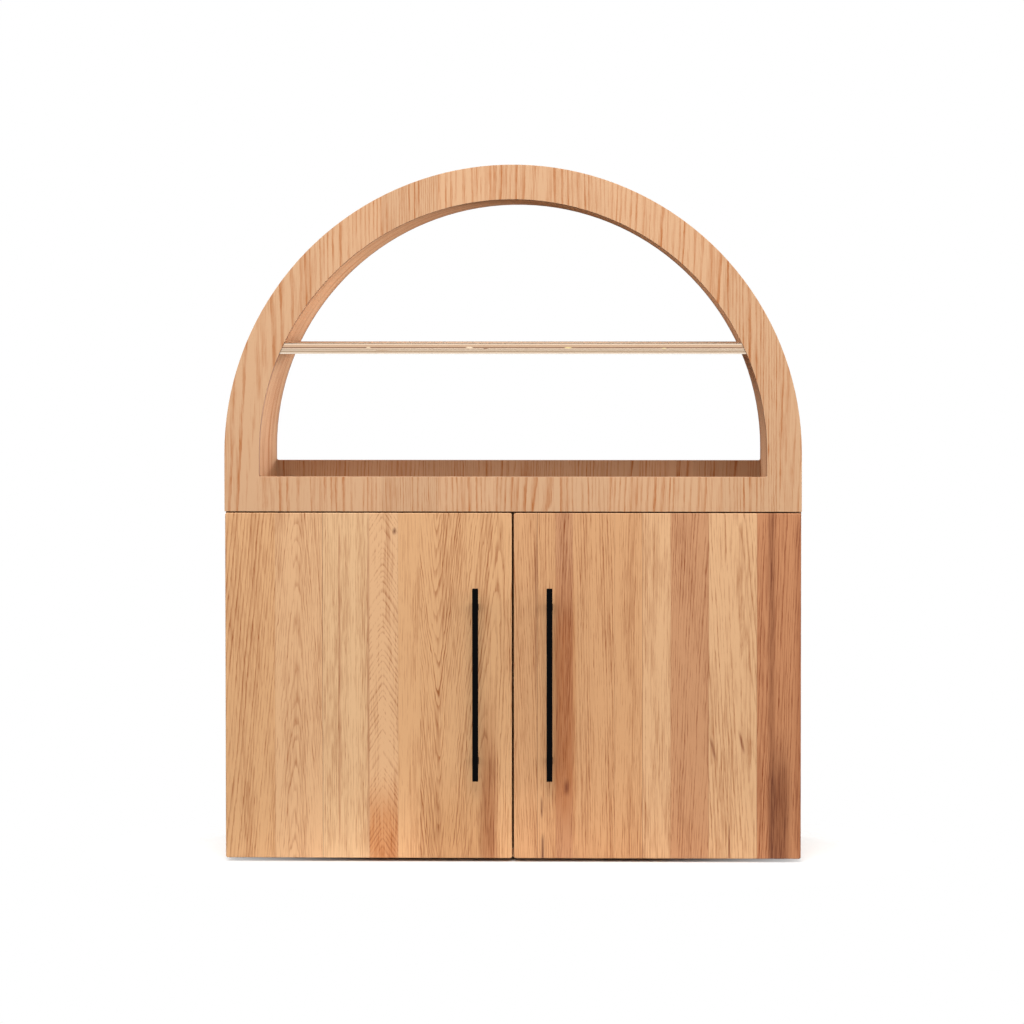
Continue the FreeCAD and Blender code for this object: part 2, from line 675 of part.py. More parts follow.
# Blocks between skin and lining: two at the shelf, three above it and one at the foot of each leg
core_inner_radius = lining_radius + glue_gap
core_length = ring_width - 2 * skin_thickness - 2 * glue_gap
shelf_angle = angle_of_sine(shelf_middle / (core_inner_radius + core_length / 2))
halfway = (shelf_angle + 90) / 2
blocks = []
for angle in (shelf_angle, halfway, as_size(90), -halfway + 180, -shelf_angle + 180):
    block = doc.addObject("Part::Box", "arch_block")
    block.setExpression("Length", core_length.text)
    block.setExpression("Width", arch_core_depth.text)
    block.setExpression("Height", block_thickness.text)
    tilt = FreeCAD.Rotation(FreeCAD.Vector(0, 1, 0), -angle.number)
    block.Placement = FreeCAD.Placement(FreeCAD.Vector(), tilt)
    block.setExpression("Placement.Rotation.Angle", (-angle).text)
    placed(block,
           cosine(angle) * core_inner_radius + sine(angle) * block_thickness / 2,
           arch_core_front,
           spring_level + sine(angle) * core_inner_radius - cosine(angle) * block_thickness / 2)
    blocks.append(block)
for corner in (-floor_half_width + glue_gap, core_inner_radius):
    blocks.append(box("leg_block", (core_length, arch_core_depth, block_thickness),
                      (corner, arch_core_front, hutch_floor_top)))
kept(cut("arch_blocks", group("arch_block_blanks", blocks),
         *shelf_dowels("block_hole", fit_gap, dowel_end_gap)))

# Left door, drawn with its outer edge at x 0, its back face at y 0 and its foot at z 0
door_width = (width - 2 * door_side_reveal - door_centre_gap) / 2
door_height = carcass_height - door_top_gap
door_place = (-width / 2 + door_side_reveal, front + door_thickness, foot_height)
cup_middle = cup_edge_distance + cup_radius
cup_screw_column = cup_middle + cup_screw_offset
handle_column = door_width - handle_inset
post_levels = (handle_centre_height - post_spacing / 2, handle_centre_height + post_spacing / 2)

left_door = doc.addObject("PartDesign::Body", "left_door")
door_face = sketch_on(left_door, "XZ_Plane", "door_face")
rectangle(door_face, zero, zero, door_width, door_height)
pad(left_door, door_face, door_thickness)
eased(left_door, "door_corners",
      edges_where(left_door, lambda edge: edge.YLength > door_thickness.number / 2), door_corner_round)
eased(left_door, "door_front_edges",
      edges_where(left_door, lambda edge: edge.YMax < -door_thickness.number / 2), door_front_round)
eased(left_door, "door_back_edges",
      edges_where(left_door, lambda edge: edge.YMin > -door_back_round.number / 2), door_back_round)
cup_bores = sketch_on(left_door, "XZ_Plane", "cup_bores")
for level in hinge_levels:
    circle(cup_bores, cup_middle, level, cup_radius + fit_gap)
pocket(left_door, cup_bores, cup_depth + fit_gap, backwards=True)
screw_bores = sketch_on(left_door, "XZ_Plane", "screw_bores")
for level in hinge_levels:
    for side in (-1, 1):
        row = level + side * cup_screw_spacing / 2
        circle(screw_bores, cup_screw_column, row, cup_screw_radius + fit_gap)
pocket(left_door, screw_bores, cup_screw_length, backwards=True)
handle_bores = sketch_on(left_door, "XZ_Plane", "handle_bores")
for level in post_levels:
    circle(handle_bores, handle_column, level, handle_screw_radius + fit_gap)
pocket(left_door, handle_bores, door_thickness, backwards=True)
kept(placed(left_door, *door_place))

# Handle bar on two posts, held by screws through the door
bar = doc.addObject("PartDesign::Body", "left_handle_bar")
bar_section = sketch_on(bar, "XY_Plane", "bar_section")
half_bar = handle_width / 2
rectangle(bar_section, -half_bar, zero, half_bar, handle_width)
pad(bar, bar_section, handle_length)
eased(bar, "bar_edges", edges_where(bar, lambda edge: True), handle_edge_bevel, "Chamfer")
kept(placed(bar, door_place[0] + handle_column, front - handle_reach,
            foot_height + handle_centre_height - handle_length / 2))
post_blanks = [box("handle_post", (handle_width, handle_reach - handle_width, handle_width),
                   (handle_column - half_bar, handle_width - door_thickness - handle_reach, level - half_bar))
               for level in post_levels]
thread_holes = [rod("post_thread_hole", handle_screw_radius + fit_gap,
                    handle_screw_length - door_thickness + dowel_end_gap,
                    (handle_column, -handle_screw_length - dowel_end_gap, level), "y")
                for level in post_levels]
posts = kept(cut("left_handle_posts", group("handle_post_blanks", post_blanks), *thread_holes))
placed(posts, *door_place)
handle_screw = screw("handle_screw", handle_screw_radius, handle_screw_length, handle_screw_head_radius,
                     handle_screw_head_height)
handle_screws = kept(copies("left_handle_screws", handle_screw,
                            [(handle_column, zero, level) for level in post_levels], "y"))
placed(handle_screws, *door_place)

# Door bumpers: soft dots that meet the front edges of the top and bottom boards
bumper_levels = (board_thickness / 2, door_height - board_thickness / 2 + door_top_gap)
bumpers = [rod("bumper", bumper_radius, bumper_thickness, (door_width - bumper_inset, zero, level), "y")
           for level in bumper_levels]
kept(placed(group("left_door_bumpers", bumpers), *door_place))

# Hinge cup with its wings, drawn at one level in the door's own frame
cup_outside = rod("cup_outside", cup_radius, cup_depth, (cup_middle, -cup_depth, zero), "y")
wing = box("cup_wing", (wing_width, wing_thickness, wing_length),
           (cup_middle + wing_offset - wing_width / 2, zero, -wing_length / 2))
cup_inside = rod("cup_inside", cup_radius - cup_wall, cup_depth + wing_thickness + overrun,
                 (cup_middle, cup_floor - cup_depth, zero), "y")
pin_hole = rod("cup_pin_hole", pin_radius + fit_gap, pin_length, (pivot_inset, -pivot_depth, -pin_length / 2))
wing_holes = [rod("wing_hole", cup_screw_radius + fit_gap, wing_thickness + 2 * overrun,
                  (cup_screw_column, -overrun, side * cup_screw_spacing / 2), "y") for side in (-1, 1)]
lug_length = (pin_length - strip_width) / 2 - lug_gap
lugs = [rod("cup_lug", barrel_radius, lug_length, (pivot_inset, -pivot_depth, foot))
        for foot in (-pin_length / 2, strip_width / 2 + lug_gap)]
cup_shell = cut("cup_shell", joined("cup_blank", cup_outside, wing), cup_inside, *wing_holes)
cup = cut("hinge_cup", joined("cup_with_lugs", cup_shell, *lugs), pin_hole)
pin_rod = rod("pin_rod", pin_radius, pin_length, (pivot_inset, -pivot_depth, -pin_length / 2))
pin = group("hinge_pin", [pin_rod])

# Hinge arm: a strip bent into the cup with a barrel round the pin, on a channel over the mounting plate
side_face = board_thickness - door_side_reveal
strip_inside = side_face + strip_side_gap
strip_outside = strip_inside + strip_thickness
slope = sine(strip_drop) / cosine(strip_drop)
half_strip = strip_thickness / 2
upper = half_strip / cosine(strip_drop) - pivot_depth
lower = -half_strip / cosine(strip_drop) - pivot_depth
strip = doc.addObject("PartDesign::Body", "hinge_strip")
strip_profile = sketch_on(strip, "XY_Plane", "strip_profile")
outline(strip_profile, (
    (pivot_inset, upper),
    (strip_inside, upper - (strip_inside - pivot_inset) * slope),
    (strip_inside, arm_start),
    (strip_outside, arm_start),
    (strip_outside, lower - (strip_outside - pivot_inset) * slope),
    (pivot_inset, lower)))
pad(strip, strip_profile, strip_width, both_ways=True)
barrel = rod("hinge_barrel", barrel_radius, strip_width, (pivot_inset, -pivot_depth, -strip_width / 2))
arm_foot = side_face + plate_thickness
arm_top = arm_foot + arm_height
channel_blank = box("channel_blank", (arm_height, arm_length, arm_width),
                    (arm_foot, arm_start, -arm_width / 2))
channel_inside = box("channel_inside",
                     (arm_height - arm_wall + overrun, arm_length, arm_width - 2 * arm_wall),
                     (arm_foot - overrun, arm_start + arm_wall, arm_wall - arm_width / 2))
channel = cut("hinge_channel", channel_blank, channel_inside)
nose = box("hinge_nose", (arm_top - strip_inside, arm_wall, arm_width),
           (strip_inside, arm_start, -arm_width / 2))
arm_pin_hole = rod("arm_pin_hole", pin_radius + fit_gap, strip_width + 2 * overrun,
                   (pivot_inset, -pivot_depth, -strip_width / 2 - overrun))
arm_screw_row = door_back_gap + arm_screw_set_back
arm_screw_hole = rod("arm_screw_hole", arm_screw_radius + fit_gap, arm_wall + 2 * overrun,
                     (arm_top - arm_wall - overrun, arm_screw_row, zero), "x")
arm = cut("hinge_arm", joined("arm_blank", strip, barrel, channel, nose), arm_pin_hole, arm_screw_hole)

# Mounting plate on the side panel, with a wing above and below the arm
plate_middle = door_back_gap + plate_set_back
plate_body = box("plate_body", (plate_thickness, plate_length, plate_body_width),
                 (side_face, plate_middle - plate_length / 2, -plate_body_width / 2))
plate_wings = box("plate_wings", (plate_thickness, plate_wing_width, plate_wing_length),
                  (side_face, plate_middle - plate_wing_width / 2, -plate_wing_length / 2))
plate_holes = [rod("plate_hole", plate_screw_radius + fit_gap, plate_thickness + 2 * overrun,
                   (side_face - overrun, plate_middle, side * plate_screw_spacing / 2), "x")
               for side in (-1, 1)]
plate_thread = rod("plate_thread", arm_screw_radius + fit_gap, plate_thickness + 2 * overrun,
                   (side_face - overrun, arm_screw_row, zero), "x")
plate = cut("hinge_plate", joined("plate_blank", plate_body, plate_wings), plate_thread, *plate_holes)

cup_screw = screw("cup_screw", cup_screw_radius, cup_screw_length, cup_screw_head_radius,
                  cup_screw_head_height)
plate_screw = screw("plate_screw", plate_screw_radius, plate_screw_length, plate_screw_head_radius,
                    plate_screw_head_height)
arm_screw_length = arm_top - side_face - arm_screw_tip_gap
arm_screw = screw("arm_screw", arm_screw_radius, arm_screw_length, arm_screw_head_radius,
                  arm_screw_head_height)

hinge_places = [(zero, zero, level) for level in hinge_levels]
cup_screw_places = [(cup_screw_column, wing_thickness, level + side * cup_screw_spacing / 2)
                    for level in hinge_levels for side in (-1, 1)]
plate_screw_places = [(side_face + plate_thickness, plate_middle, level + side * plate_screw_spacing / 2)
                      for level in hinge_levels for side in (-1, 1)]
arm_screw_places = [(arm_top, arm_screw_row, level) for level in hinge_levels]
for name, master, places, along in (
        ("left_hinge_cups", cup, hinge_places, "z"),
        ("left_hinge_pins", pin, hinge_places, "z"),
        ("left_hinge_arms", arm, hinge_places, "z"),
        ("left_hinge_plates", plate, hinge_places, "z"),
        ("left_cup_screws", cup_screw, cup_screw_places, "y"),
        ("left_plate_screws", plate_screw, plate_screw_places, "x"),
        ("left_arm_screws", arm_screw, arm_screw_places, "x")):
    kept(placed(copies(name, master, places, along), *door_place))

# The right door and all that it carries mirror the left one
for piece in list(pieces):
    if piece.Label.startswith("left_") and piece is not left_side_panel:
        kept(mirrored(piece.Label.replace("left_", "right_"), piece))

doc.recompute()
for item in doc.Objects:
    if "Invalid" in item.State or "Error" in item.State:
        raise RuntimeError(f"{item.Label} failed: {item.State}")

os.makedirs("parts", exist_ok=True)
for piece in pieces:
    shape = piece.Shape
    if shape.isNull() or not shape.isValid() or not shape.Solids:
        raise RuntimeError(f"{piece.Label} has no sound solid")
    shape.exportStep(f"parts/{piece.Label}.step")
    print(f"{piece.Label}: {len(shape.Solids)} solids, {shape.Volume / 1000:.2f} cm3")
print(f"{len(pieces)} pieces")
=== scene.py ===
import math

import bmesh
import bpy
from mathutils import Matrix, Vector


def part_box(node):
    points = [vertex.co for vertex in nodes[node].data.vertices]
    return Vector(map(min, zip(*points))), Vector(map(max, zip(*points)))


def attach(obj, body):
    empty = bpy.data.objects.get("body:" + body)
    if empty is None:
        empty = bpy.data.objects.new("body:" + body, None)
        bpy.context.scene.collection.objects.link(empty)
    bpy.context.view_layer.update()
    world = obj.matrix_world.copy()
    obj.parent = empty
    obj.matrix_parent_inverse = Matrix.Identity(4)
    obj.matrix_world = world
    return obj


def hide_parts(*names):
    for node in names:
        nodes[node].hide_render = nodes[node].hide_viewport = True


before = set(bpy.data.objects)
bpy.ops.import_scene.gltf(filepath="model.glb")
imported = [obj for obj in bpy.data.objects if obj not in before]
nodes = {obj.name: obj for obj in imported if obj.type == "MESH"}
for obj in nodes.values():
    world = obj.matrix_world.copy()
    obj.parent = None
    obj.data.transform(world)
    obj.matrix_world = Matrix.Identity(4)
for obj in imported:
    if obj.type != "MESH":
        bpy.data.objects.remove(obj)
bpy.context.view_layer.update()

scene = bpy.context.scene
mm = 0.001
print("stage: frame loaded,", len(nodes), "nodes")


def linearColour(code):
    # an sRGB hex code as the linear colour that the shaders take
    parts = [int(code[at:at + 2], 16) / 255 for at in (1, 3, 5)]
    return [part / 12.92 if part <= 0.04045 else ((part + 0.055) / 1.055) ** 2.4 for part in parts] + [1]


def putNode(tree, kind, inputs=None, **settings):
    # one node with its settings, and each input either linked or given a value
    node = tree.nodes.new(kind)
    for name, value in settings.items():
        setattr(node, name, value)
    for name, value in (inputs or {}).items():
        if isinstance(value, bpy.types.NodeSocket):
            tree.links.new(value, node.inputs[name])
        else:
            node.inputs[name].default_value = value
    return node


def newMaterial(name):
    material = bpy.data.materials.new(name)
    material.use_nodes = True
    material.node_tree.nodes.clear()
    return material, material.node_tree


def dressPieces(materials):
    for name, material in materials.items():
        nodes[name].data.materials.clear()
        nodes[name].data.materials.append(material)


# The camera stands right of the middle and a little above the shelf, as the two inner walls show
cameraView = {
    "place": (0.233, -6.8075, 1.1535),
    "pitch": -1.446,
    "yaw": 0.921,
    "lens": 112.73,
    "sensor": 36,
    "clipEnd": 200,
    "shift": (-0.06, -0.12),
}
cameraData = bpy.data.cameras.new("studioCamera")
cameraData.lens = cameraView["lens"]
cameraData.sensor_width = cameraView["sensor"]
cameraData.shift_x, cameraData.shift_y = cameraView["shift"]
cameraData.clip_end = cameraView["clipEnd"]
camera = bpy.data.objects.new("studioCamera", cameraData)
camera.location = cameraView["place"]
camera.rotation_euler = (math.radians(90 + cameraView["pitch"]), 0, math.radians(cameraView["yaw"]))
scene.collection.objects.link(camera)
scene.camera = camera
scene.view_settings.view_transform = "Standard"

# White studio: bright all round to the eye, softer where it lights the wood and softest from below
studio = {"seen": 1.0, "above": 0.50, "below": 0.14, "turnsFrom": -0.25, "turnsTo": 0.35}
world = bpy.data.worlds.new("whiteStudio")
world.use_nodes = True
scene.world = world
world.node_tree.nodes.clear()
rayKind = putNode(world.node_tree, "ShaderNodeLightPath")
brightBack = putNode(world.node_tree, "ShaderNodeBackground", {"Color": (1, 1, 1, 1), "Strength": studio["seen"]})
heading = putNode(world.node_tree, "ShaderNodeSeparateXYZ", {
    0: putNode(world.node_tree, "ShaderNodeTexCoord").outputs["Generated"]}).outputs[2]
height = putNode(world.node_tree, "ShaderNodeMapRange", {
    0: heading, 1: studio["turnsFrom"], 2: studio["turnsTo"], 3: studio["below"], 4: studio["above"]}).outputs[0]
softFill = putNode(world.node_tree, "ShaderNodeBackground", {"Color": (1, 1, 1, 1), "Strength": height})
studioMix = putNode(world.node_tree, "ShaderNodeMixShader", {
    0: rayKind.outputs["Is Camera Ray"], 1: softFill.outputs[0], 2: brightBack.outputs[0]})
putNode(world.node_tree, "ShaderNodeOutputWorld", {"Surface": studioMix.outputs[0]})

# Softboxes: a main one high in front, two low ones whose shadows lie on both sides of each handle, a fill at
# each side, and two behind, which light the walls of the arch and the back. The spot behind lights the upper
# left of the lining; its beam is the whole angle of the cone. Each lamp stands far metres from its aim, side
# degrees round from the front and rise degrees up. Sizes are in metres.
softboxes = {
    "mainSoftbox": {"aim": (0, -0.1, 0.7), "side": 0, "rise": 50, "far": 5.0, "size": 2.6, "watts": 235},
    "leftSoftbox": {"aim": (0, -0.15, 0.7), "side": -31, "rise": 25, "far": 4.0, "size": 1.0, "watts": 17},
    "rightSoftbox": {"aim": (0, -0.15, 0.7), "side": 31, "rise": 25, "far": 4.0, "size": 1.0, "watts": 19},
    "leftFill": {"aim": (0, 0, 0.9), "side": -64, "rise": 10, "far": 4.5, "size": 2.6, "watts": 45},
    "rightFill": {"aim": (0, 0, 0.9), "side": 64, "rise": 10, "far": 4.5, "size": 2.6, "watts": 60},
    "rightBack": {"aim": (0, 0, 1.0), "side": 122, "rise": -4, "far": 4.0, "size": 1.4, "watts": 85},
    "archSpot": {"aim": (-0.31, 0, 1.31), "side": 130, "rise": -3, "far": 3.5, "size": 0.5, "watts": 400,
                 "beam": 22, "softness": 0.7},
    "leftBack": {"aim": (0, 0, 0.8), "side": -138, "rise": 26, "far": 4.0, "size": 2.0, "watts": 75},
}
for name, box in softboxes.items():
    light = bpy.data.lights.new(name, "SPOT" if "beam" in box else "AREA")
    if "beam" in box:
        light.spot_size = math.radians(box["beam"])
        light.spot_blend = box["softness"]
        light.shadow_soft_size = box["size"] / 2
    else:
        light.shape = "SQUARE"
        light.size = box["size"]
    light.energy = box["watts"]
    lamp = bpy.data.objects.new(name, light)
    side, rise = math.radians(box["side"]), math.radians(box["rise"])
    aim = box["aim"]
    lamp.location = (aim[0] + box["far"] * math.sin(side) * math.cos(rise),
                     aim[1] - box["far"] * math.cos(side) * math.cos(rise),
                     aim[2] + box["far"] * math.sin(rise))
    lamp.rotation_euler = (math.pi / 2 - rise, 0, side)
    scene.collection.objects.link(lamp)

# Pale floor that fades into the white round it, in metres
floor = {"radius": 1.5, "sides": 96, "narrow": 0.6, "fadeFrom": 0.20, "fadeTo": 0.56, "colour": "#F1F0EE"}
bpy.ops.object.select_all(action="DESELECT")
bpy.ops.mesh.primitive_circle_add(vertices=floor["sides"], radius=floor["radius"], fill_type="NGON",
                                  location=(0, 0, 0))
floorDisc = bpy.context.object
floorDisc.name = "studioFloor"
paleFloor, tree = newMaterial("matt_pale_paper")
place = putNode(tree, "ShaderNodeTexCoord").outputs["Object"]
oval = putNode(tree, "ShaderNodeVectorMath", {0: place, 1: (floor["narrow"], 1, 1)},
               operation="MULTIPLY").outputs[0]
reach = putNode(tree, "ShaderNodeVectorMath", {0: oval}, operation="LENGTH").outputs["Value"]
fade = putNode(tree, "ShaderNodeMapRange", {
    0: reach, 1: floor["fadeFrom"], 2: floor["fadeTo"], 3: 0, 4: 1}, interpolation_type="SMOOTHSTEP")
paper = putNode(tree, "ShaderNodeBsdfDiffuse", {"Color": linearColour(floor["colour"])})
clear = putNode(tree, "ShaderNodeBsdfTransparent")
floorMix = putNode(tree, "ShaderNodeMixShader", {0: fade.outputs[0], 1: paper.outputs[0], 2: clear.outputs[0]})
putNode(tree, "ShaderNodeOutputMaterial", {"Surface": floorMix.outputs[0]})
floorDisc.data.materials.append(paleFloor)
print("stage: camera, lights and floor set")


# How oak grows: rings round a pith, in millimetres, with x across a board, y into it and z along it.
# Each noise has its size across the fibres and along them, and its detail. Pores are 0.3 mm wide and 2 to 6 mm
# long in oak, and are drawn 1.3 by 20 mm so that they show. Seasons run from 0 to 1 in each ring. Noises mostly
# stay between 0.3 and 0.7.
oak = {
    "noises": {"longBend": (60, 250, 2), "shortBend": (9, 50, 1), "rope": (6, 17, 1), "patch": (9, 80, 2),
               "pore": (1.3, 20, 1), "cloud": (28, 420, 3), "fibre": (2.6, 55, 2)},
    "seedStep": (131, 71, 293), "yearStep": 17.3, "shortBendShare": 0.22, "ropeReach": 0.7, "unevenPace": 0.19,
    "unevenReach": 2.2, "earlyRise": 0.12, "earlyFall": (0.14, 0.62), "faintestYear": 0.35,
    "broken": (0.55, 1.15), "poreFrom": 0.53, "poreTo": 0.68, "poresInLateWood": 0.18,
    "allPoresFrom": 0.6,
}


def growOak():
    # Pith holds the pith's place and the ring width. Run holds how far it leans across and how much the trunk
    # tapers, both per millimetre of length, and a seed.
    tree = bpy.data.node_groups.new("oakGrowth", "ShaderNodeTree")
    for name, kind in (("Place", "Vector"), ("Pith", "Vector"), ("Run", "Vector"), ("Waves", "Float")):
        tree.interface.new_socket(name, in_out="INPUT", socket_type=f"NodeSocket{kind}")
    for name in ("Early", "Pore", "Cloud", "Fibre"):
        tree.interface.new_socket(name, in_out="OUTPUT", socket_type="NodeSocketFloat")
    given = putNode(tree, "NodeGroupInput").outputs
    pith = putNode(tree, "ShaderNodeSeparateXYZ", {0: given["Pith"]}).outputs
    run = putNode(tree, "ShaderNodeSeparateXYZ", {0: given["Run"]}).outputs
    spot = putNode(tree, "ShaderNodeSeparateXYZ", {0: given["Place"]}).outputs
    seed = run[2]
    apart = putNode(tree, "ShaderNodeVectorMath", {0: seed, 1: oak["seedStep"], 2: given["Place"]},
                    operation="MULTIPLY_ADD").outputs[0]
    noises = {}
    for name, (wide, long, detail) in oak["noises"].items():
        scaled = putNode(tree, "ShaderNodeVectorMath", {0: apart, 1: (1 / wide, 1 / wide, 1 / long)},
                         operation="MULTIPLY").outputs[0]
        noises[name] = putNode(tree, "ShaderNodeTexNoise", {
            "Vector": scaled, "Scale": 1, "Detail": detail}).outputs

    # Slow bends of the fibres, small ones on top of them, and the rope-like ripple of each ring
    longBend, shortBend = (
        putNode(tree, "ShaderNodeVectorMath", {0: noises[name]["Color"], 1: (0.5, 0.5, 0.5)},
                operation="SUBTRACT").outputs[0] for name in ("longBend", "shortBend"))
    shortPart = putNode(tree, "ShaderNodeVectorMath", {0: shortBend, "Scale": oak["shortBendShare"]},
                        operation="SCALE").outputs[0]
    bends = putNode(tree, "ShaderNodeVectorMath", {0: longBend, 1: shortPart}, operation="ADD").outputs[0]
    rope = putNode(tree, "ShaderNodeMapRange", {
        0: noises["rope"]["Fac"], 1: 0.2, 2: 0.8, 3: -oak["ropeReach"], 4: oak["ropeReach"]}).outputs[0]
    moved = putNode(tree, "ShaderNodeVectorMath", {0: bends, "Scale": given["Waves"]},
                    operation="SCALE").outputs[0]
    shift = putNode(tree, "ShaderNodeSeparateXYZ", {0: moved}).outputs

    # Distance from the leaning pith on a tapering trunk, in ring widths
    lean = putNode(tree, "ShaderNodeMath", {0: run[0], 1: spot[2], 2: pith[0]},
                   operation="MULTIPLY_ADD").outputs[0]
    aside = putNode(tree, "ShaderNodeMath", {0: spot[0], 1: lean}, operation="SUBTRACT").outputs[0]
    roped = putNode(tree, "ShaderNodeMath", {0: aside, 1: rope}, operation="ADD").outputs[0]
    across = putNode(tree, "ShaderNodeMath", {0: roped, 1: shift[0]}, operation="ADD").outputs[0]
    behind = putNode(tree, "ShaderNodeMath", {0: spot[1], 1: pith[1]}, operation="SUBTRACT").outputs[0]
    into = putNode(tree, "ShaderNodeMath", {0: behind, 1: shift[1]}, operation="ADD").outputs[0]
    flat = putNode(tree, "ShaderNodeCombineXYZ", {0: across, 1: into}).outputs[0]
    radius = putNode(tree, "ShaderNodeVectorMath", {0: flat}, operation="LENGTH").outputs["Value"]
    cone = putNode(tree, "ShaderNodeMath", {0: run[1], 1: spot[2], 2: radius},
                   operation="MULTIPLY_ADD").outputs[0]
    rings = putNode(tree, "ShaderNodeMath", {0: cone, 1: pith[2]}, operation="DIVIDE").outputs[0]
    slow = putNode(tree, "ShaderNodeMath", {0: rings, 1: oak["unevenPace"], 2: seed},
                   operation="MULTIPLY_ADD").outputs[0]
    uneven = putNode(tree, "ShaderNodeTexNoise", {"W": slow, "Scale": 1, "Detail": 1},
                     noise_dimensions="1D").outputs["Fac"]
    years = putNode(tree, "ShaderNodeMath", {0: uneven, 1: oak["unevenReach"], 2: rings},
                    operation="MULTIPLY_ADD").outputs[0]
    season = putNode(tree, "ShaderNodeMath", {0: years}, operation="FRACT").outputs[0]
    year = putNode(tree, "ShaderNodeMath", {0: years}, operation="FLOOR").outputs[0]
    yearSeed = putNode(tree, "ShaderNodeMath", {0: seed, 1: oak["yearStep"], 2: year},
                       operation="MULTIPLY_ADD").outputs[0]
    vigour = putNode(tree, "ShaderNodeTexWhiteNoise", {"W": yearSeed}, noise_dimensions="1D").outputs["Value"]

    # Early wood starts sharply and ends softly, some years are strong and some faint, and none is even along
    # its length
    rise = putNode(tree, "ShaderNodeMapRange", {0: season, 1: 0, 2: oak["earlyRise"], 3: 0, 4: 1},
                   interpolation_type="SMOOTHSTEP").outputs[0]
    fall = putNode(tree, "ShaderNodeMapRange", {
        0: season, 1: oak["earlyFall"][0], 2: oak["earlyFall"][1], 3: 1, 4: 0},
        interpolation_type="SMOOTHSTEP").outputs[0]
    band = putNode(tree, "ShaderNodeMath", {0: rise, 1: fall}, operation="MULTIPLY").outputs[0]
    strength = putNode(tree, "ShaderNodeMapRange", {
        0: vigour, 1: 0, 2: 1, 3: oak["faintestYear"], 4: 1}).outputs[0]
    broken = putNode(tree, "ShaderNodeMapRange", {
        0: noises["patch"]["Fac"], 1: 0.3, 2: 0.65, 3: oak["broken"][0], 4: oak["broken"][1]}).outputs[0]
    whole = putNode(tree, "ShaderNodeMath", {0: band, 1: strength}, operation="MULTIPLY").outputs[0]
    early = putNode(tree, "ShaderNodeMath", {0: whole, 1: broken}, operation="MULTIPLY").outputs[0]

    # Pores stand close in early wood and far apart in late wood
    dash = putNode(tree, "ShaderNodeMapRange", {
        0: noises["pore"]["Fac"], 1: oak["poreFrom"], 2: oak["poreTo"], 3: 0, 4: 1},
        interpolation_type="SMOOTHSTEP").outputs[0]
    opened = putNode(tree, "ShaderNodeMapRange", {
        0: early, 1: 0, 2: oak["allPoresFrom"], 3: oak["poresInLateWood"], 4: 1}).outputs[0]
    pore = putNode(tree, "ShaderNodeMath", {0: dash, 1: opened}, operation="MULTIPLY").outputs[0]
    putNode(tree, "NodeGroupOutput", {
        "Early": early, "Pore": pore, "Cloud": noises["cloud"]["Fac"], "Fibre": noises["fibre"]["Fac"]})
    return tree


oakGrowth = growOak()


stillFlat = 0.97  # a face that turns less than this counts as flat: the cosine of its turn


def wearEdges(tree, width, sharpest, share):
    # how worn a spot is: 0 on flat faces, up to share where the faces within width mm turn most
    rounded = putNode(tree, "ShaderNodeBevel", {"Radius": width * mm}, samples=4).outputs[0]
    straight = putNode(tree, "ShaderNodeNewGeometry").outputs["Normal"]
    facing = putNode(tree, "ShaderNodeVectorMath", {0: rounded, 1: straight},
                     operation="DOT_PRODUCT").outputs["Value"]
    return putNode(tree, "ShaderNodeMapRange", {0: facing, 1: stillFlat, 2: sharpest, 3: 0, 4: share}).outputs[0]


# What every oak face has: sanded edges, a little paler, and pores, duller than the wood and sunk
oakFace = {"wornWidth": 1.5, "sharpest": 0.75, "worn": "#F0DCC4", "dullPores": 0.14, "poreDepth": 0.15,
           "ior": 1.5}


def finishOak(tree, tone, growth, feel, coats):
    # the colour, gloss and relief of an oak face from its tone and its growth
    early = putNode(tree, "ShaderNodeMath", {0: growth["Early"], 1: feel}, operation="MULTIPLY").outputs[0]
    pore = putNode(tree, "ShaderNodeMath", {0: growth["Pore"], 1: coats["pore"], 2: early},
                   operation="MULTIPLY_ADD").outputs[0]
    cloud, fibre = (putNode(tree, "ShaderNodeMapRange", {
        0: growth[name.capitalize()], 1: 0.3, 2: 0.7, 3: -coats[name], 4: coats[name]}).outputs[0]
        for name in ("cloud", "fibre"))
    soft = putNode(tree, "ShaderNodeMath", {0: cloud, 1: fibre}, operation="ADD").outputs[0]
    shade = putNode(tree, "ShaderNodeMath", {0: pore, 1: soft}, operation="ADD", use_clamp=True).outputs[0]
    dark = putNode(tree, "ShaderNodeMix", {0: 1.0, 6: tone, 7: linearColour(coats["dark"])},
                   data_type="RGBA", blend_type="MULTIPLY").outputs[2]
    grain = putNode(tree, "ShaderNodeMix", {0: shade, 6: tone, 7: dark}, data_type="RGBA").outputs[2]
    edge = wearEdges(tree, oakFace["wornWidth"], oakFace["sharpest"], coats["edge"])
    colour = putNode(tree, "ShaderNodeMix", {0: edge, 6: grain, 7: linearColour(oakFace["worn"])},
                     data_type="RGBA").outputs[2]
    gloss = putNode(tree, "ShaderNodeMapRange", {
        0: shade, 1: 0, 2: 1, 3: coats["roughness"], 4: coats["roughness"] + oakFace["dullPores"]}).outputs[0]
    height = putNode(tree, "ShaderNodeMath", {0: growth["Pore"], 1: -1.0, 2: fibre},
                     operation="MULTIPLY_ADD").outputs[0]
    relief = putNode(tree, "ShaderNodeBump", {
        "Height": height, "Strength": coats["relief"], "Distance": oakFace["poreDepth"] * mm})
    surface = putNode(tree, "ShaderNodeBsdfPrincipled", {
        "Base Color": colour, "Roughness": gloss, "Normal": relief.outputs[0]})
    surface.inputs["IOR"].default_value = oakFace["ior"]
    surface.inputs["Specular IOR Level"].default_value = coats["sheen"]
    putNode(tree, "ShaderNodeOutputMaterial", {"Surface": surface.outputs[0]})


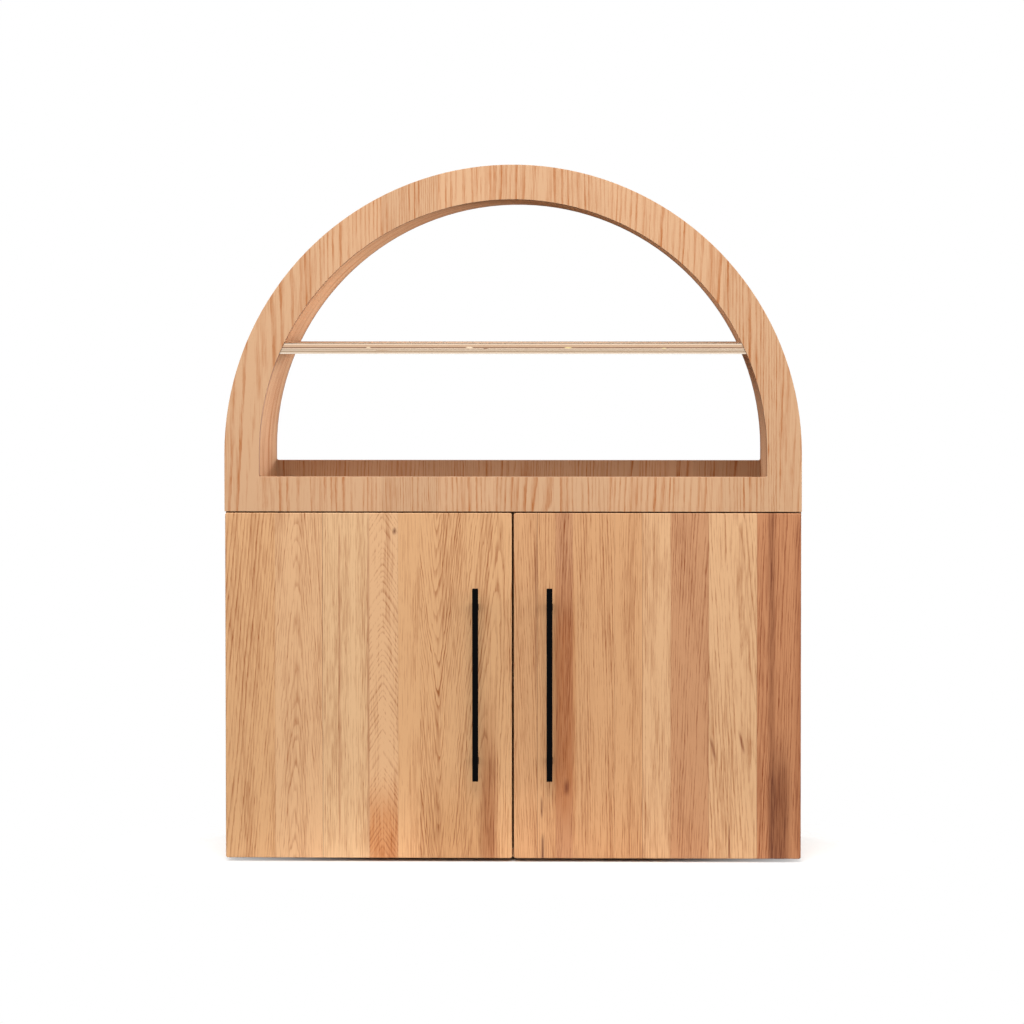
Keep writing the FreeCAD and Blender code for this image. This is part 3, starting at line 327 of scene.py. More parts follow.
# Satin lacquered oak veneer: crown-cut leaves beside each other, so straight lines and flames alternate.
# The lacquer is thin and smooth: a soft sheen face on, and a clear reflection at a flat angle.
veneer = {
    "tone": "#C39A76", "leafWidth": 118, "pithDepth": (30, 90), "ringWidth": (3.4, 6.2), "taper": (0.004, 0.024),
    "lean": 0.004, "clearOfPith": 0.38, "leafSeedStep": 0.37, "leafTone": (0.955, 1.03), "feel": 0.66,
    "waves": 3.0, "core": "#9A6E4C", "coreFrom": -0.3,
    "coats": {"dark": "#D29A58", "pore": 0.24, "cloud": 0.26, "fibre": 0.22, "edge": 0.25, "roughness": 0.58,
              "relief": 0.2, "sheen": 0.25},
    # the bent sheets are only sealed: duller, and striped more strongly along the bend
    "sealed": {"dark": "#C9904C", "pore": 0.45, "cloud": 0.55, "fibre": 0.30, "edge": 0.1, "roughness": 0.72,
               "relief": 0.2, "sheen": 0.08},
}

# The bent sheets of the arch: the level where the curve starts and a middle radius, both in mm
arch = {"spring": 851, "radius": 540}


def layVeneer(name, course, seed, coats="coats", shade=1.0):
    # course says which way the leaves run: the axes across, into and along the board, or round the arch
    material, tree = newMaterial(name)
    metres = putNode(tree, "ShaderNodeTexCoord").outputs["Object"]
    place = putNode(tree, "ShaderNodeVectorMath", {0: metres, "Scale": 1000}, operation="SCALE").outputs[0]
    axes = putNode(tree, "ShaderNodeSeparateXYZ", {0: place}).outputs
    if course == "round the arch":
        over = putNode(tree, "ShaderNodeMath", {0: axes[2], 1: arch["spring"]}, operation="SUBTRACT").outputs[0]
        above = putNode(tree, "ShaderNodeMath", {0: over, 1: 0}, operation="MAXIMUM").outputs[0]
        below = putNode(tree, "ShaderNodeMath", {0: over, 1: 0}, operation="MINIMUM").outputs[0]
        angle = putNode(tree, "ShaderNodeMath", {0: above, 1: axes[0]}, operation="ARCTAN2").outputs[0]
        hand = putNode(tree, "ShaderNodeMath", {0: axes[0]}, operation="SIGN").outputs[0]
        leg = putNode(tree, "ShaderNodeMath", {0: hand, 1: below}, operation="MULTIPLY").outputs[0]
        along = putNode(tree, "ShaderNodeMath", {0: angle, 1: arch["radius"], 2: leg},
                        operation="MULTIPLY_ADD").outputs[0]
        spoke = putNode(tree, "ShaderNodeCombineXYZ", {0: axes[0], 1: above}).outputs[0]
        length = putNode(tree, "ShaderNodeVectorMath", {0: spoke}, operation="LENGTH").outputs["Value"]
        into = putNode(tree, "ShaderNodeMath", {0: length, 1: arch["radius"]}, operation="SUBTRACT").outputs[0]
        across = axes[1]
    else:
        across, into, along = (axes["xyz".index(axis)] for axis in course)
    board = putNode(tree, "ShaderNodeCombineXYZ", {0: across, 1: into, 2: along}).outputs[0]

    # Which leaf, and where its log had its pith
    width = veneer["leafWidth"]
    count = putNode(tree, "ShaderNodeMath", {0: across, 1: 1 / width, 2: seed},
                    operation="MULTIPLY_ADD").outputs[0]
    leaf = putNode(tree, "ShaderNodeMath", {0: count}, operation="FLOOR").outputs[0]
    chance = putNode(tree, "ShaderNodeTexWhiteNoise", {"W": leaf}, noise_dimensions="1D").outputs["Color"]
    luck = putNode(tree, "ShaderNodeSeparateXYZ", {0: chance}).outputs
    middle = putNode(tree, "ShaderNodeMath", {0: leaf, 1: width, 2: (0.5 - seed) * width},
                     operation="MULTIPLY_ADD").outputs[0]
    luckySide = putNode(tree, "ShaderNodeMapRange", {0: luck[0], 1: 0, 2: 1, 3: -width, 4: width}).outputs[0]
    sideSign = putNode(tree, "ShaderNodeMath", {0: luckySide}, operation="SIGN").outputs[0]
    sway = putNode(tree, "ShaderNodeMath", {0: sideSign, 1: veneer["clearOfPith"] * width, 2: luckySide},
                   operation="MULTIPLY_ADD").outputs[0]
    pithAcross = putNode(tree, "ShaderNodeMath", {0: middle, 1: sway}, operation="ADD").outputs[0]
    pithInto = putNode(tree, "ShaderNodeMapRange", {
        0: luck[1], 1: 0, 2: 1, 3: veneer["pithDepth"][0], 4: veneer["pithDepth"][1]}).outputs[0]
    ringWidth = putNode(tree, "ShaderNodeMapRange", {
        0: luck[2], 1: 0, 2: 1, 3: veneer["ringWidth"][0], 4: veneer["ringWidth"][1]}).outputs[0]
    pith = putNode(tree, "ShaderNodeCombineXYZ", {0: pithAcross, 1: pithInto, 2: ringWidth}).outputs[0]
    leanAcross = putNode(tree, "ShaderNodeMapRange", {
        0: luck[1], 1: 0, 2: 1, 3: -veneer["lean"], 4: veneer["lean"]}).outputs[0]
    taper = putNode(tree, "ShaderNodeMapRange", {
        0: luck[0], 1: 0, 2: 1, 3: veneer["taper"][0], 4: veneer["taper"][1]}).outputs[0]
    leafSeed = putNode(tree, "ShaderNodeMath", {0: leaf, 1: veneer["leafSeedStep"], 2: seed},
                       operation="MULTIPLY_ADD").outputs[0]
    run = putNode(tree, "ShaderNodeCombineXYZ", {0: leanAcross, 1: taper, 2: leafSeed}).outputs[0]
    growth = putNode(tree, "ShaderNodeGroup", {
        "Place": board, "Pith": pith, "Run": run, "Waves": veneer["waves"]}, node_tree=oakGrowth).outputs
    # a shade below 1 darkens every leaf of the material: painted shade
    palest, darkest = max(veneer["leafTone"]) * shade, min(veneer["leafTone"]) * shade
    lift = putNode(tree, "ShaderNodeMapRange", {0: luck[2], 1: 0, 2: 1, 3: darkest, 4: palest}).outputs[0]
    tone = putNode(tree, "ShaderNodeMix", {0: 1.0, 6: linearColour(veneer["tone"]), 7: lift},
                   data_type="RGBA", blend_type="MULTIPLY").outputs[2]

    if course == "xyz":
        # The edges that look into the arch's opening show the darker core of the board
        spoke = putNode(tree, "ShaderNodeVectorMath", {0: metres, 1: (0, 0, -arch["spring"] * mm)},
                        operation="ADD").outputs[0]
        flatSpoke = putNode(tree, "ShaderNodeVectorMath", {0: spoke, 1: (1, 0, 1)},
                            operation="MULTIPLY").outputs[0]
        normal = putNode(tree, "ShaderNodeTexCoord").outputs["Normal"]
        inward = putNode(tree, "ShaderNodeVectorMath", {0: flatSpoke, 1: normal},
                         operation="DOT_PRODUCT").outputs["Value"]
        isEdge = putNode(tree, "ShaderNodeMath", {0: inward, 1: veneer["coreFrom"]},
                         operation="LESS_THAN").outputs[0]
        tone = putNode(tree, "ShaderNodeMix", {0: isEdge, 6: tone, 7: linearColour(veneer["core"])},
                       data_type="RGBA").outputs[2]
    finishOak(tree, tone, growth, veneer["feel"], veneer[coats])
    return material


uprightVeneer = layVeneer("lacquered_oak_veneer_upright", "xyz", 0.31)
# The back panel has its own leaves, and its tone is cut to 0.84 as painted shade for its rail's face in the tray
rearVeneerPaintedShade = layVeneer("lacquered_oak_veneer_rear_painted_shade", "xyz", 5.77, shade=0.84)
sideVeneer = layVeneer("lacquered_oak_veneer_sides", "yxz", 3.62)
levelVeneer = layVeneer("lacquered_oak_veneer_level", "yzx", 8.14)
bentVeneer = layVeneer("sealed_oak_veneer_bent", "round the arch", 12.45, "sealed")
veneered = {
    "front_arch_panel": uprightVeneer, "back_arch_panel": rearVeneerPaintedShade, "base_back_panel": uprightVeneer,
    "left_side_panel": sideVeneer, "right_side_panel": sideVeneer,
    "base_bottom_board": levelVeneer, "base_top_board": levelVeneer, "inner_shelf": levelVeneer,
    "hutch_floor_board": levelVeneer,
    "arch_outer_skin": bentVeneer, "arch_inner_lining": bentVeneer,
}
dressPieces(veneered)
print("stage: veneer laid")

# Solid oak doors, glued up from staves and oiled: every stave has its own log, so tone and figure change
# at each glue line. Each row: right-hand edge, tone, pith across and depth, ring width, lean, taper, seed,
# waves, strength of the figure.
oakTones = {"straw": "#D3AA7F", "wheat": "#D1A479", "honey": "#CE9E70", "tan": "#C9976A", "amber": "#BD8961",
            "russet": "#B97E55"}
staves = {
    "left": [
        (-494.7, "honey", -150, 60, 6.0, 0.100, 0.00, 1.3, 7, 0.48),
        (-395.8, "wheat", -12, 14, 4.4, 0.010, 0.08, 2.7, 14, 0.46),
        (-299.3, "straw", 170, 60, 4.6, 0.000, 0.00, 3.1, 6, 0.26),
        (-239.0, "wheat", -2, 2, 9.0, 0.000, 0.62, 4.9, 7, 0.42),
        (-193.3, "honey", 90, 60, 4.4, 0.000, 0.00, 5.2, 5, 0.34),
        (-95.6, "honey", -12, 8, 4.8, 0.000, -0.10, 6.8, 16, 0.66),
        (-2.0, "honey", -34, 14, 6.0, 0.090, 0.06, 7.4, 16, 0.56),
    ],
    "right": [
        (50.9, "tan", 110, 50, 3.8, -0.050, 0.00, 11.6, 7, 0.42),
        (89.4, "tan", -80, 40, 4.2, 0.020, 0.03, 12.9, 8, 0.46),
        (124.7, "amber", 60, 40, 4.2, 0.010, 0.03, 13.2, 8, 0.46),
        (212.0, "tan", -120, 60, 4.6, 0.000, 0.02, 14.8, 6, 0.46),
        (270.0, "tan", 130, 60, 4.2, 0.000, 0.02, 15.1, 6, 0.38),
        (328.4, "wheat", -150, 60, 4.0, 0.000, 0.00, 16.7, 4, 0.34),
        (407.4, "amber", 70, 40, 4.4, 0.000, 0.04, 17.3, 10, 0.50),
        (507.2, "wheat", 60, 30, 5.6, -0.080, 0.02, 18.9, 9, 0.50),
        (599.0, "russet", 140, 50, 5.4, 0.020, 0.02, 19.2, 9, 0.64),
    ],
}
# Darker streaks, small knots and two rows of painted shade at the doors' feet, in mm: middle, lean, half width,
# foot, head, fade, colour, strength, and the share of the half width that is at full strength
streaks = {
    "brownFoot": (-50, 0.00, 26, -260, 400, 260, "#B88A64", 0.68, 0.2),
    "orangeFoot": (-269, 0.00, 31, -140, 200, 140, "#DFB486", 0.75, 0.9),
    "chevronKnot": (-246, 0.00, 6, 680, 700, 10, "#6B4028", 0.90, 0.0),
    "lineInPlank": (-361, 0.00, 3.5, 8, 728, 60, "#B07040", 0.45, 0.0),
    "lineByChevrons": (-301, 0.00, 3.5, 8, 728, 60, "#B07040", 0.40, 0.0),
    "lineByCentre": (48, 0.00, 3.0, 300, 728, 120, "#A06A40", 0.50, 0.0),
    "upperCrack": (60, 0.00, 4, 85, 145, 24, "#7A4426", 0.70, 0.0),
    "lowerCrack": (62, 0.00, 5, -40, 66, 24, "#6E3C20", 0.80, 0.0),
    "handleShade": (107, 0.00, 30, -10, 660, 200, "#DCB384", 0.75, 0.4),
    "handleKnot": (112, 0.00, 9, 132, 180, 22, "#9A6844", 0.80, 0.0),
    "spotByPaleStrip": (526, -0.20, 5, 222, 280, 22, "#9A6238", 0.80, 0.0),
    "spotInPlank": (464, -0.20, 5, 208, 266, 22, "#9A6238", 0.75, 0.0),
    "lineLowInPlank": (450, 0.00, 3, -10, 92, 30, "#9A6238", 0.60, 0.0),
    "edgeLine": (538, 0.00, 12, -40, 760, 60, "#A88468", 0.60, 0.0),
    "brownPatch": (556, 0.00, 30, -160, 300, 160, "#AC9280", 0.90, 0.2),
    # painted shade: greys the foot of the left door's middle staves, where less light falls
    "paintedShadeLeftFoot": (-118, 0.00, 96, -200, 240, 200, "#DAD0C2", 0.80, 0.5),
    "farEdge": (600, 0.00, 22, -80, 780, 120, "#C09878", 0.50, 0.0),
    # painted shade: greys the foot of most of the right door, for the lower light near the floor
    "paintedShadeRightFoot": (230, 0.00, 330, -260, 170, 220, "#DDD2C6", 0.60, 0.3),
}
oiled = {
    "coats": {"dark": "#AD7834", "pore": 0.30, "cloud": 0.26, "fibre": 0.26, "edge": 0.2, "roughness": 0.52,
              "relief": 0.35, "sheen": 0.4},
    "ragged": (0.7, 1.25), "seamDirt": 0.75, "dirt": "#6B4630",
}


def oilStaves():
    material, tree = newMaterial("oiled_solid_oak_staves")
    metres = putNode(tree, "ShaderNodeTexCoord").outputs["Object"]
    place = putNode(tree, "ShaderNodeVectorMath", {0: metres, "Scale": 1000}, operation="SCALE").outputs[0]
    axes = putNode(tree, "ShaderNodeSeparateXYZ", {0: place}).outputs
    pith = putNode(tree, "ShaderNodeAttribute", attribute_name="stavePith").outputs["Vector"]
    run = putNode(tree, "ShaderNodeAttribute", attribute_name="staveRun").outputs["Vector"]
    tone = putNode(tree, "ShaderNodeAttribute", attribute_name="staveTone").outputs["Color"]
    feel = putNode(tree, "ShaderNodeAttribute", attribute_name="staveFeel").outputs["Vector"]
    feelParts = putNode(tree, "ShaderNodeSeparateXYZ", {0: feel}).outputs
    growth = putNode(tree, "ShaderNodeGroup", {"Place": place, "Pith": pith, "Run": run, "Waves": feelParts[0]},
                     node_tree=oakGrowth).outputs
    ragged = putNode(tree, "ShaderNodeMapRange", {
        0: growth["Fibre"], 1: 0.25, 2: 0.75, 3: oiled["ragged"][0], 4: oiled["ragged"][1]}).outputs[0]
    # each row darkens the tone: streaks and knots in the wood, and painted shade at the doors' feet
    for middle, lean, half, foot, head, fade, colour, strength, hold in streaks.values():
        line = putNode(tree, "ShaderNodeMath", {0: axes[2], 1: lean, 2: middle},
                       operation="MULTIPLY_ADD").outputs[0]
        aside = putNode(tree, "ShaderNodeMath", {0: axes[0], 1: line}, operation="SUBTRACT").outputs[0]
        offset = putNode(tree, "ShaderNodeMath", {0: aside}, operation="ABSOLUTE").outputs[0]
        core = putNode(tree, "ShaderNodeMapRange", {0: offset, 1: hold * half, 2: half, 3: strength, 4: 0},
                       interpolation_type="SMOOTHSTEP").outputs[0]
        low = putNode(tree, "ShaderNodeMapRange", {0: axes[2], 1: foot, 2: foot + fade, 3: 0, 4: 1},
                      interpolation_type="SMOOTHSTEP").outputs[0]
        high = putNode(tree, "ShaderNodeMapRange", {0: axes[2], 1: head - fade, 2: head, 3: 1, 4: 0},
                       interpolation_type="SMOOTHSTEP").outputs[0]
        ends = putNode(tree, "ShaderNodeMath", {0: low, 1: high}, operation="MULTIPLY").outputs[0]
        spread = putNode(tree, "ShaderNodeMath", {0: core, 1: ends}, operation="MULTIPLY").outputs[0]
        amount = putNode(tree, "ShaderNodeMath", {0: spread, 1: ragged}, operation="MULTIPLY",
                         use_clamp=True).outputs[0]
        tone = putNode(tree, "ShaderNodeMix", {0: amount, 6: tone, 7: linearColour(colour)},
                       data_type="RGBA", blend_type="MULTIPLY").outputs[2]
    # Glue lines hold a little dirt
    seam = putNode(tree, "ShaderNodeMapRange", {
        0: feelParts[2], 1: 0, 2: 1, 3: 0, 4: oiled["seamDirt"]}).outputs[0]
    tone = putNode(tree, "ShaderNodeMix", {0: seam, 6: tone, 7: linearColour(oiled["dirt"])},
                   data_type="RGBA").outputs[2]
    finishOak(tree, tone, growth, feelParts[1], oiled["coats"])
    return material


def pickEdges(piece, test):
    # selects the edges whose two ends pass, and nothing else
    mesh = bmesh.from_edit_mesh(piece.data)
    bpy.ops.mesh.select_all(action="DESELECT")
    for edge in mesh.edges:
        if test(edge.verts[0].co, edge.verts[1].co):
            edge.select_set(True)
    bmesh.update_edit_mesh(piece.data)


# A door as the joiner makes it: a glued board, corners and edges rounded over, drilled for hinges and handle.
# All in mm and degrees. Each round has its radius and its segments.
doorMake = {"corner": (4.0, 5), "frontRound": (2.0, 4), "backRound": (1.5, 3), "cupFromEdge": 20.5,
            "cupRadius": 17.55, "cupDepth": 13.05, "cupSides": 64, "hingeFromEnd": 100, "cupScrewAside": 6,
            "cupScrewApart": 48, "cupScrewRadius": 1.8, "cupScrewSides": 16, "handleFromEdge": 522,
            "handleLevels": (213, 533), "handleScrewRadius": 2.05, "handleScrewDepth": 24, "handleScrewSides": 20,
            "jointWidth": 0.55, "jointDepth": 0.12, "smoothAngle": 40}
# How dirty some glue lines are, by their place across, and how dirty the others are
jointDirt = {-395.8: 0.9, -299.3: 0.35, -239.0: 0.3, 50.9: 0.8, 270.0: 0.7, 212.0: 0.3, 507.2: 0.4, 407.4: 0.3}
plainJointDirt = 0.15
hair = 1e-5  # in metres: points closer than this are in one place


def makeDoor(side, material):
    lowest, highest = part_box(f"{side}_door")
    hand = -1 if side == "left" else 1
    outer = lowest.x if side == "left" else highest.x
    bpy.ops.object.select_all(action="DESELECT")
    bpy.ops.mesh.primitive_cube_add(size=1, location=(lowest + highest) / 2)
    door = bpy.context.object
    door.name = f"{side}_stave_door"
    door.scale = highest - lowest
    bpy.ops.object.transform_apply(location=True, rotation=False, scale=True)
    bpy.ops.object.mode_set(mode="EDIT")
    bpy.ops.mesh.select_mode(type="EDGE")
    thickness = highest.y - lowest.y
    for name, test in (("corner", lambda one, two: abs(one.y - two.y) > thickness / 2),
                       ("frontRound", lambda one, two: max(one.y, two.y) < lowest.y + hair),
                       ("backRound", lambda one, two: min(one.y, two.y) > highest.y - hair)):
        radius, segments = doorMake[name]
        pickEdges(door, test)
        bpy.ops.mesh.bevel(offset=radius * mm, segments=segments, affect="EDGES")
    bpy.ops.object.mode_set(mode="OBJECT")

    # Drill: cup bores and their screw holes from the back, handle holes right through
    cupAcross = outer - hand * doorMake["cupFromEdge"] * mm
    screwAcross = cupAcross - hand * doorMake["cupScrewAside"] * mm
    handleAcross = outer - hand * doorMake["handleFromEdge"] * mm
    holes = []
    for level in (lowest.z + doorMake["hingeFromEnd"] * mm, highest.z - doorMake["hingeFromEnd"] * mm):
        holes.append((cupAcross, level, doorMake["cupRadius"], doorMake["cupDepth"], doorMake["cupSides"]))
        for way in (-0.5, 0.5):
            holes.append((screwAcross, level + way * doorMake["cupScrewApart"] * mm, doorMake["cupScrewRadius"],
                          doorMake["cupDepth"], doorMake["cupScrewSides"]))
    for level in doorMake["handleLevels"]:
        holes.append((handleAcross, level * mm, doorMake["handleScrewRadius"], doorMake["handleScrewDepth"],
                      doorMake["handleScrewSides"]))
    bits = []
    for across, level, radius, deep, sides in holes:
        bpy.ops.object.select_all(action="DESELECT")
        bpy.ops.mesh.primitive_cylinder_add(
            vertices=sides, radius=radius * mm, depth=2 * deep * mm, location=(across, highest.y, level),
            rotation=(math.pi / 2, 0, 0))
        bits.append(bpy.context.object)
    for bit in bits:
        drill = door.modifiers.new("drill", "BOOLEAN")
        drill.object = bit
        drill.operation = "DIFFERENCE"
        drill.solver = "EXACT"
        bpy.ops.object.select_all(action="DESELECT")
        bpy.context.view_layer.objects.active = door
        door.select_set(True)
        bpy.ops.object.modifier_apply(modifier="drill")
    for bit in bits:
        bpy.data.objects.remove(bit)

    # Glue lines: cut the board at each one and sink a hairline
    rows = staves[side]
    joints = [row[0] for row in rows[:-1]]
    bpy.ops.object.mode_set(mode="EDIT")
    for joint in joints:
        bpy.ops.mesh.select_all(action="SELECT")
        bpy.ops.mesh.bisect(plane_co=(joint * mm, 0, 0), plane_no=(1, 0, 0))
        pickEdges(door, lambda one, two: max(abs(one.x - joint * mm), abs(two.x - joint * mm)) < hair)
        bpy.ops.mesh.bevel(offset=doorMake["jointWidth"] * mm, segments=2, affect="EDGES")
        pickEdges(door, lambda one, two: max(abs(one.x - joint * mm), abs(two.x - joint * mm)) < hair)
        bpy.ops.transform.shrink_fatten(value=-doorMake["jointDepth"] * mm)
    bpy.ops.object.mode_set(mode="OBJECT")

    # Each face learns which stave it belongs to
    mesh = door.data
    named = {name: mesh.attributes.new(name, "FLOAT_VECTOR", "FACE")
             for name in ("staveTone", "stavePith", "staveRun", "staveFeel")}
    for face in mesh.polygons:
        across = face.center.x / mm
        left = lowest.x / mm
        for edge, tone, pithAcross, pithDepth, ringWidth, lean, taper, seed, waves, feel in rows:
            if across <= edge or edge == rows[-1][0]:
                break
            left = edge
        near = min(joints, key=lambda joint: abs(joint - across))
        dirt = jointDirt.get(near, plainJointDirt) if abs(near - across) < doorMake["jointWidth"] else 0
        named["staveTone"].data[face.index].vector = linearColour(oakTones[tone])[:3]
        named["stavePith"].data[face.index].vector = (
            (left + edge) / 2 + pithAcross, lowest.y / mm + pithDepth, ringWidth)
        named["staveRun"].data[face.index].vector = (lean, taper, seed)
        named["staveFeel"].data[face.index].vector = (waves, feel, dirt)
    door.data.materials.append(material)
    bpy.ops.object.select_all(action="DESELECT")
    door.select_set(True)
    bpy.context.view_layer.objects.active = door
    bpy.ops.object.shade_smooth_by_angle(angle=math.radians(doorMake["smoothAngle"]))
    even = door.modifiers.new("evenNormals", "WEIGHTED_NORMAL")
    even.keep_sharp = True
    bpy.ops.object.modifier_apply(modifier="evenNormals")
    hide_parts(f"{side}_door")
    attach(door, f"{side}_leaf")
    return door


oiledStaves = oilStaves()
doors = {side: makeDoor(side, oiledStaves) for side in ("left", "right")}
print("stage: doors glued up,", {side: len(door.data.polygons) for side, door in doors.items()}, "faces")


# Raw birch plywood with its edge showing: light plies along the shelf, darker ones across it, glue between.
# Lengths are in mm. Each noise has its size along the shelf, into it and up, its detail and its distortion.
# Tones run from the foot of the edge, 0, to its top, 1. The last, darkest stop is a painted shadow line along the
# top of the edge, for the top face seen edge on in shade.
plywood = {
    "foot": 1058.5, "thickness": 22.5, "plies": 15, "drift": 0.35, "glue": "#7E5B40", "glueFrom": 0.38,
    "glueShare": 0.25, "markEdge": (0.7, 1.1), "markShare": 0.9, "lyingFrom": 0.7,
    "noises": {"waver": (90, 90, 12, 2, 0), "speck": (2.2, 2.2, 0.7, 2, 0), "streak": (60, 2.5, 0.6, 2, 0),
               "peel": (240, 16, 1, 4, 0.6)},
    "crossWood": ("#C9B8AA", "#FFFAF5"), "longWood": ("#DCD2C8", "#FFFFFF"), "face": ("#B48F6C", "#DDBF9F"),
    "plyTone": (0.80, 1.0), "roughness": 0.62, "relief": 0.3, "reliefDepth": 0.2,
    "tones": ((0.0, "#D8C9B8"), (0.07, "#FFF4E4"), (0.15, "#DCC6AC"), (0.20, "#705438"), (0.25, "#D4BEA2"),
              (0.29, "#FCEAD6"), (0.33, "#DCC6AC"), (0.375, "#5E4630"), (0.42, "#DCC6AC"), (0.48, "#FFF0DC"),
              (0.52, "#C4A084"), (0.57, "#5A3826"), (0.63, "#CCAA8C"), (0.84, "#E6C8AA"), (0.92, "#FFF4E4"),
              (0.955, "#A88C74"), (1.0, "#3E2E22")),
}
# Marks in the plywood's front edge: across, level, half width, half height, colour
plyMarks = {
    "palePatch": (-90, 1072.0, 8, 1.6, "#E8D2B4"), "brownKnot": (-56, 1070.4, 7, 1.6, "#7A5238"),
    "yellowPatch": (115, 1071.6, 8, 1.6, "#D8C48A"), "smallPatch": (-300, 1072.0, 5, 1.4, "#D8C4A4"),
    "farPatch": (314, 1070.0, 5, 1.4, "#D2BE90"), "brownGap": (-270, 1066.2, 18, 1.0, "#9A7A5C"),
}


def sawPlywood():
    material, tree = newMaterial("raw_birch_plywood")
    coordinates = putNode(tree, "ShaderNodeTexCoord").outputs
    place = putNode(tree, "ShaderNodeVectorMath", {0: coordinates["Object"], "Scale": 1000},
                    operation="SCALE").outputs[0]
    axes = putNode(tree, "ShaderNodeSeparateXYZ", {0: place}).outputs
    noises = {}
    for name, (long, wide, high, detail, distortion) in plywood["noises"].items():
        scaled = putNode(tree, "ShaderNodeVectorMath", {0: place, 1: (1 / long, 1 / wide, 1 / high)},
                         operation="MULTIPLY").outputs[0]
        noises[name] = putNode(tree, "ShaderNodeTexNoise", {
            "Vector": scaled, "Scale": 1, "Detail": detail, "Distortion": distortion}).outputs["Fac"]
    ply = plywood["thickness"] / plywood["plies"]
    drift = putNode(tree, "ShaderNodeMapRange", {
        0: noises["waver"], 1: 0.3, 2: 0.7, 3: -plywood["drift"], 4: plywood["drift"]}).outputs[0]
    rise = putNode(tree, "ShaderNodeMath", {0: axes[2], 1: plywood["foot"]}, operation="SUBTRACT").outputs[0]
    layer = putNode(tree, "ShaderNodeMath", {0: rise, 1: 1 / ply, 2: drift}, operation="MULTIPLY_ADD").outputs[0]
    part = putNode(tree, "ShaderNodeMath", {0: layer}, operation="FRACT").outputs[0]
    number = putNode(tree, "ShaderNodeMath", {0: layer}, operation="FLOOR").outputs[0]
    odd = putNode(tree, "ShaderNodeMath", {0: number, 1: 2}, operation="FLOORED_MODULO").outputs[0]
    chance = putNode(tree, "ShaderNodeTexWhiteNoise", {"W": number}, noise_dimensions="1D").outputs["Value"]
    # The faces are peeled veneer: wide soft waves along the shelf
    crossWood, longWood, face = (
        putNode(tree, "ShaderNodeMix", {
            0: noises[noise], 6: linearColour(plywood[kind][0]), 7: linearColour(plywood[kind][1])},
            data_type="RGBA").outputs[2]
        for kind, noise in (("crossWood", "speck"), ("longWood", "streak"), ("face", "peel")))
    wood = putNode(tree, "ShaderNodeMix", {0: odd, 6: longWood, 7: crossWood}, data_type="RGBA").outputs[2]
    share = putNode(tree, "ShaderNodeMath", {0: rise, 1: 1 / plywood["thickness"]},
                    operation="MULTIPLY").outputs[0]
    ramp = putNode(tree, "ShaderNodeValToRGB", {0: share})
    while len(ramp.color_ramp.elements) < len(plywood["tones"]):
        ramp.color_ramp.elements.new(0.5)
    for element, (level, code) in zip(ramp.color_ramp.elements, plywood["tones"]):
        element.position = level
        element.color = linearColour(code)
    wood = putNode(tree, "ShaderNodeMix", {0: 1.0, 6: wood, 7: ramp.outputs[0]}, data_type="RGBA",
                   blend_type="MULTIPLY").outputs[2]
    depthOfTone = putNode(tree, "ShaderNodeMapRange", {
        0: chance, 1: 0, 2: 1, 3: plywood["plyTone"][0], 4: plywood["plyTone"][1]}).outputs[0]
    wood = putNode(tree, "ShaderNodeMix", {0: 1.0, 6: wood, 7: depthOfTone}, data_type="RGBA",
                   blend_type="MULTIPLY").outputs[2]
    fromGlue = putNode(tree, "ShaderNodeMath", {0: part, 1: 0.5}, operation="SUBTRACT").outputs[0]
    glueSide = putNode(tree, "ShaderNodeMath", {0: fromGlue}, operation="ABSOLUTE").outputs[0]
    glue = putNode(tree, "ShaderNodeMapRange", {
        0: glueSide, 1: plywood["glueFrom"], 2: 0.5, 3: 0, 4: plywood["glueShare"]},
        interpolation_type="SMOOTHSTEP").outputs[0]
    wood = putNode(tree, "ShaderNodeMix", {0: glue, 6: wood, 7: linearColour(plywood["glue"])},
                   data_type="RGBA").outputs[2]
    for across, level, halfWide, halfHigh, colour in plyMarks.values():
        far = putNode(tree, "ShaderNodeVectorMath", {0: place, 1: (across, 0, level)},
                      operation="SUBTRACT").outputs[0]
        scaled = putNode(tree, "ShaderNodeVectorMath", {0: far, 1: (1 / halfWide, 0, 1 / halfHigh)},
                         operation="MULTIPLY").outputs[0]
        spot = putNode(tree, "ShaderNodeVectorMath", {0: scaled}, operation="LENGTH").outputs["Value"]
        amount = putNode(tree, "ShaderNodeMapRange", {
            0: spot, 1: plywood["markEdge"][0], 2: plywood["markEdge"][1],
            3: plywood["markShare"], 4: 0}).outputs[0]
        wood = putNode(tree, "ShaderNodeMix", {0: amount, 6: wood, 7: linearColour(colour)},
                       data_type="RGBA").outputs[2]
    normal = putNode(tree, "ShaderNodeSeparateXYZ", {0: coordinates["Normal"]}).outputs[2]
    upright = putNode(tree, "ShaderNodeMath", {0: normal}, operation="ABSOLUTE").outputs[0]
    lying = putNode(tree, "ShaderNodeMath", {0: upright, 1: plywood["lyingFrom"]},
                    operation="GREATER_THAN").outputs[0]
    colour = putNode(tree, "ShaderNodeMix", {0: lying, 6: wood, 7: face}, data_type="RGBA").outputs[2]
    relief = putNode(tree, "ShaderNodeBump", {
        "Height": noises["speck"], "Strength": plywood["relief"], "Distance": plywood["reliefDepth"] * mm})
    surface = putNode(tree, "ShaderNodeBsdfPrincipled", {
        "Base Color": colour, "Roughness": plywood["roughness"], "Normal": relief.outputs[0]})
    putNode(tree, "ShaderNodeOutputMaterial", {"Surface": surface.outputs[0]})
    return material


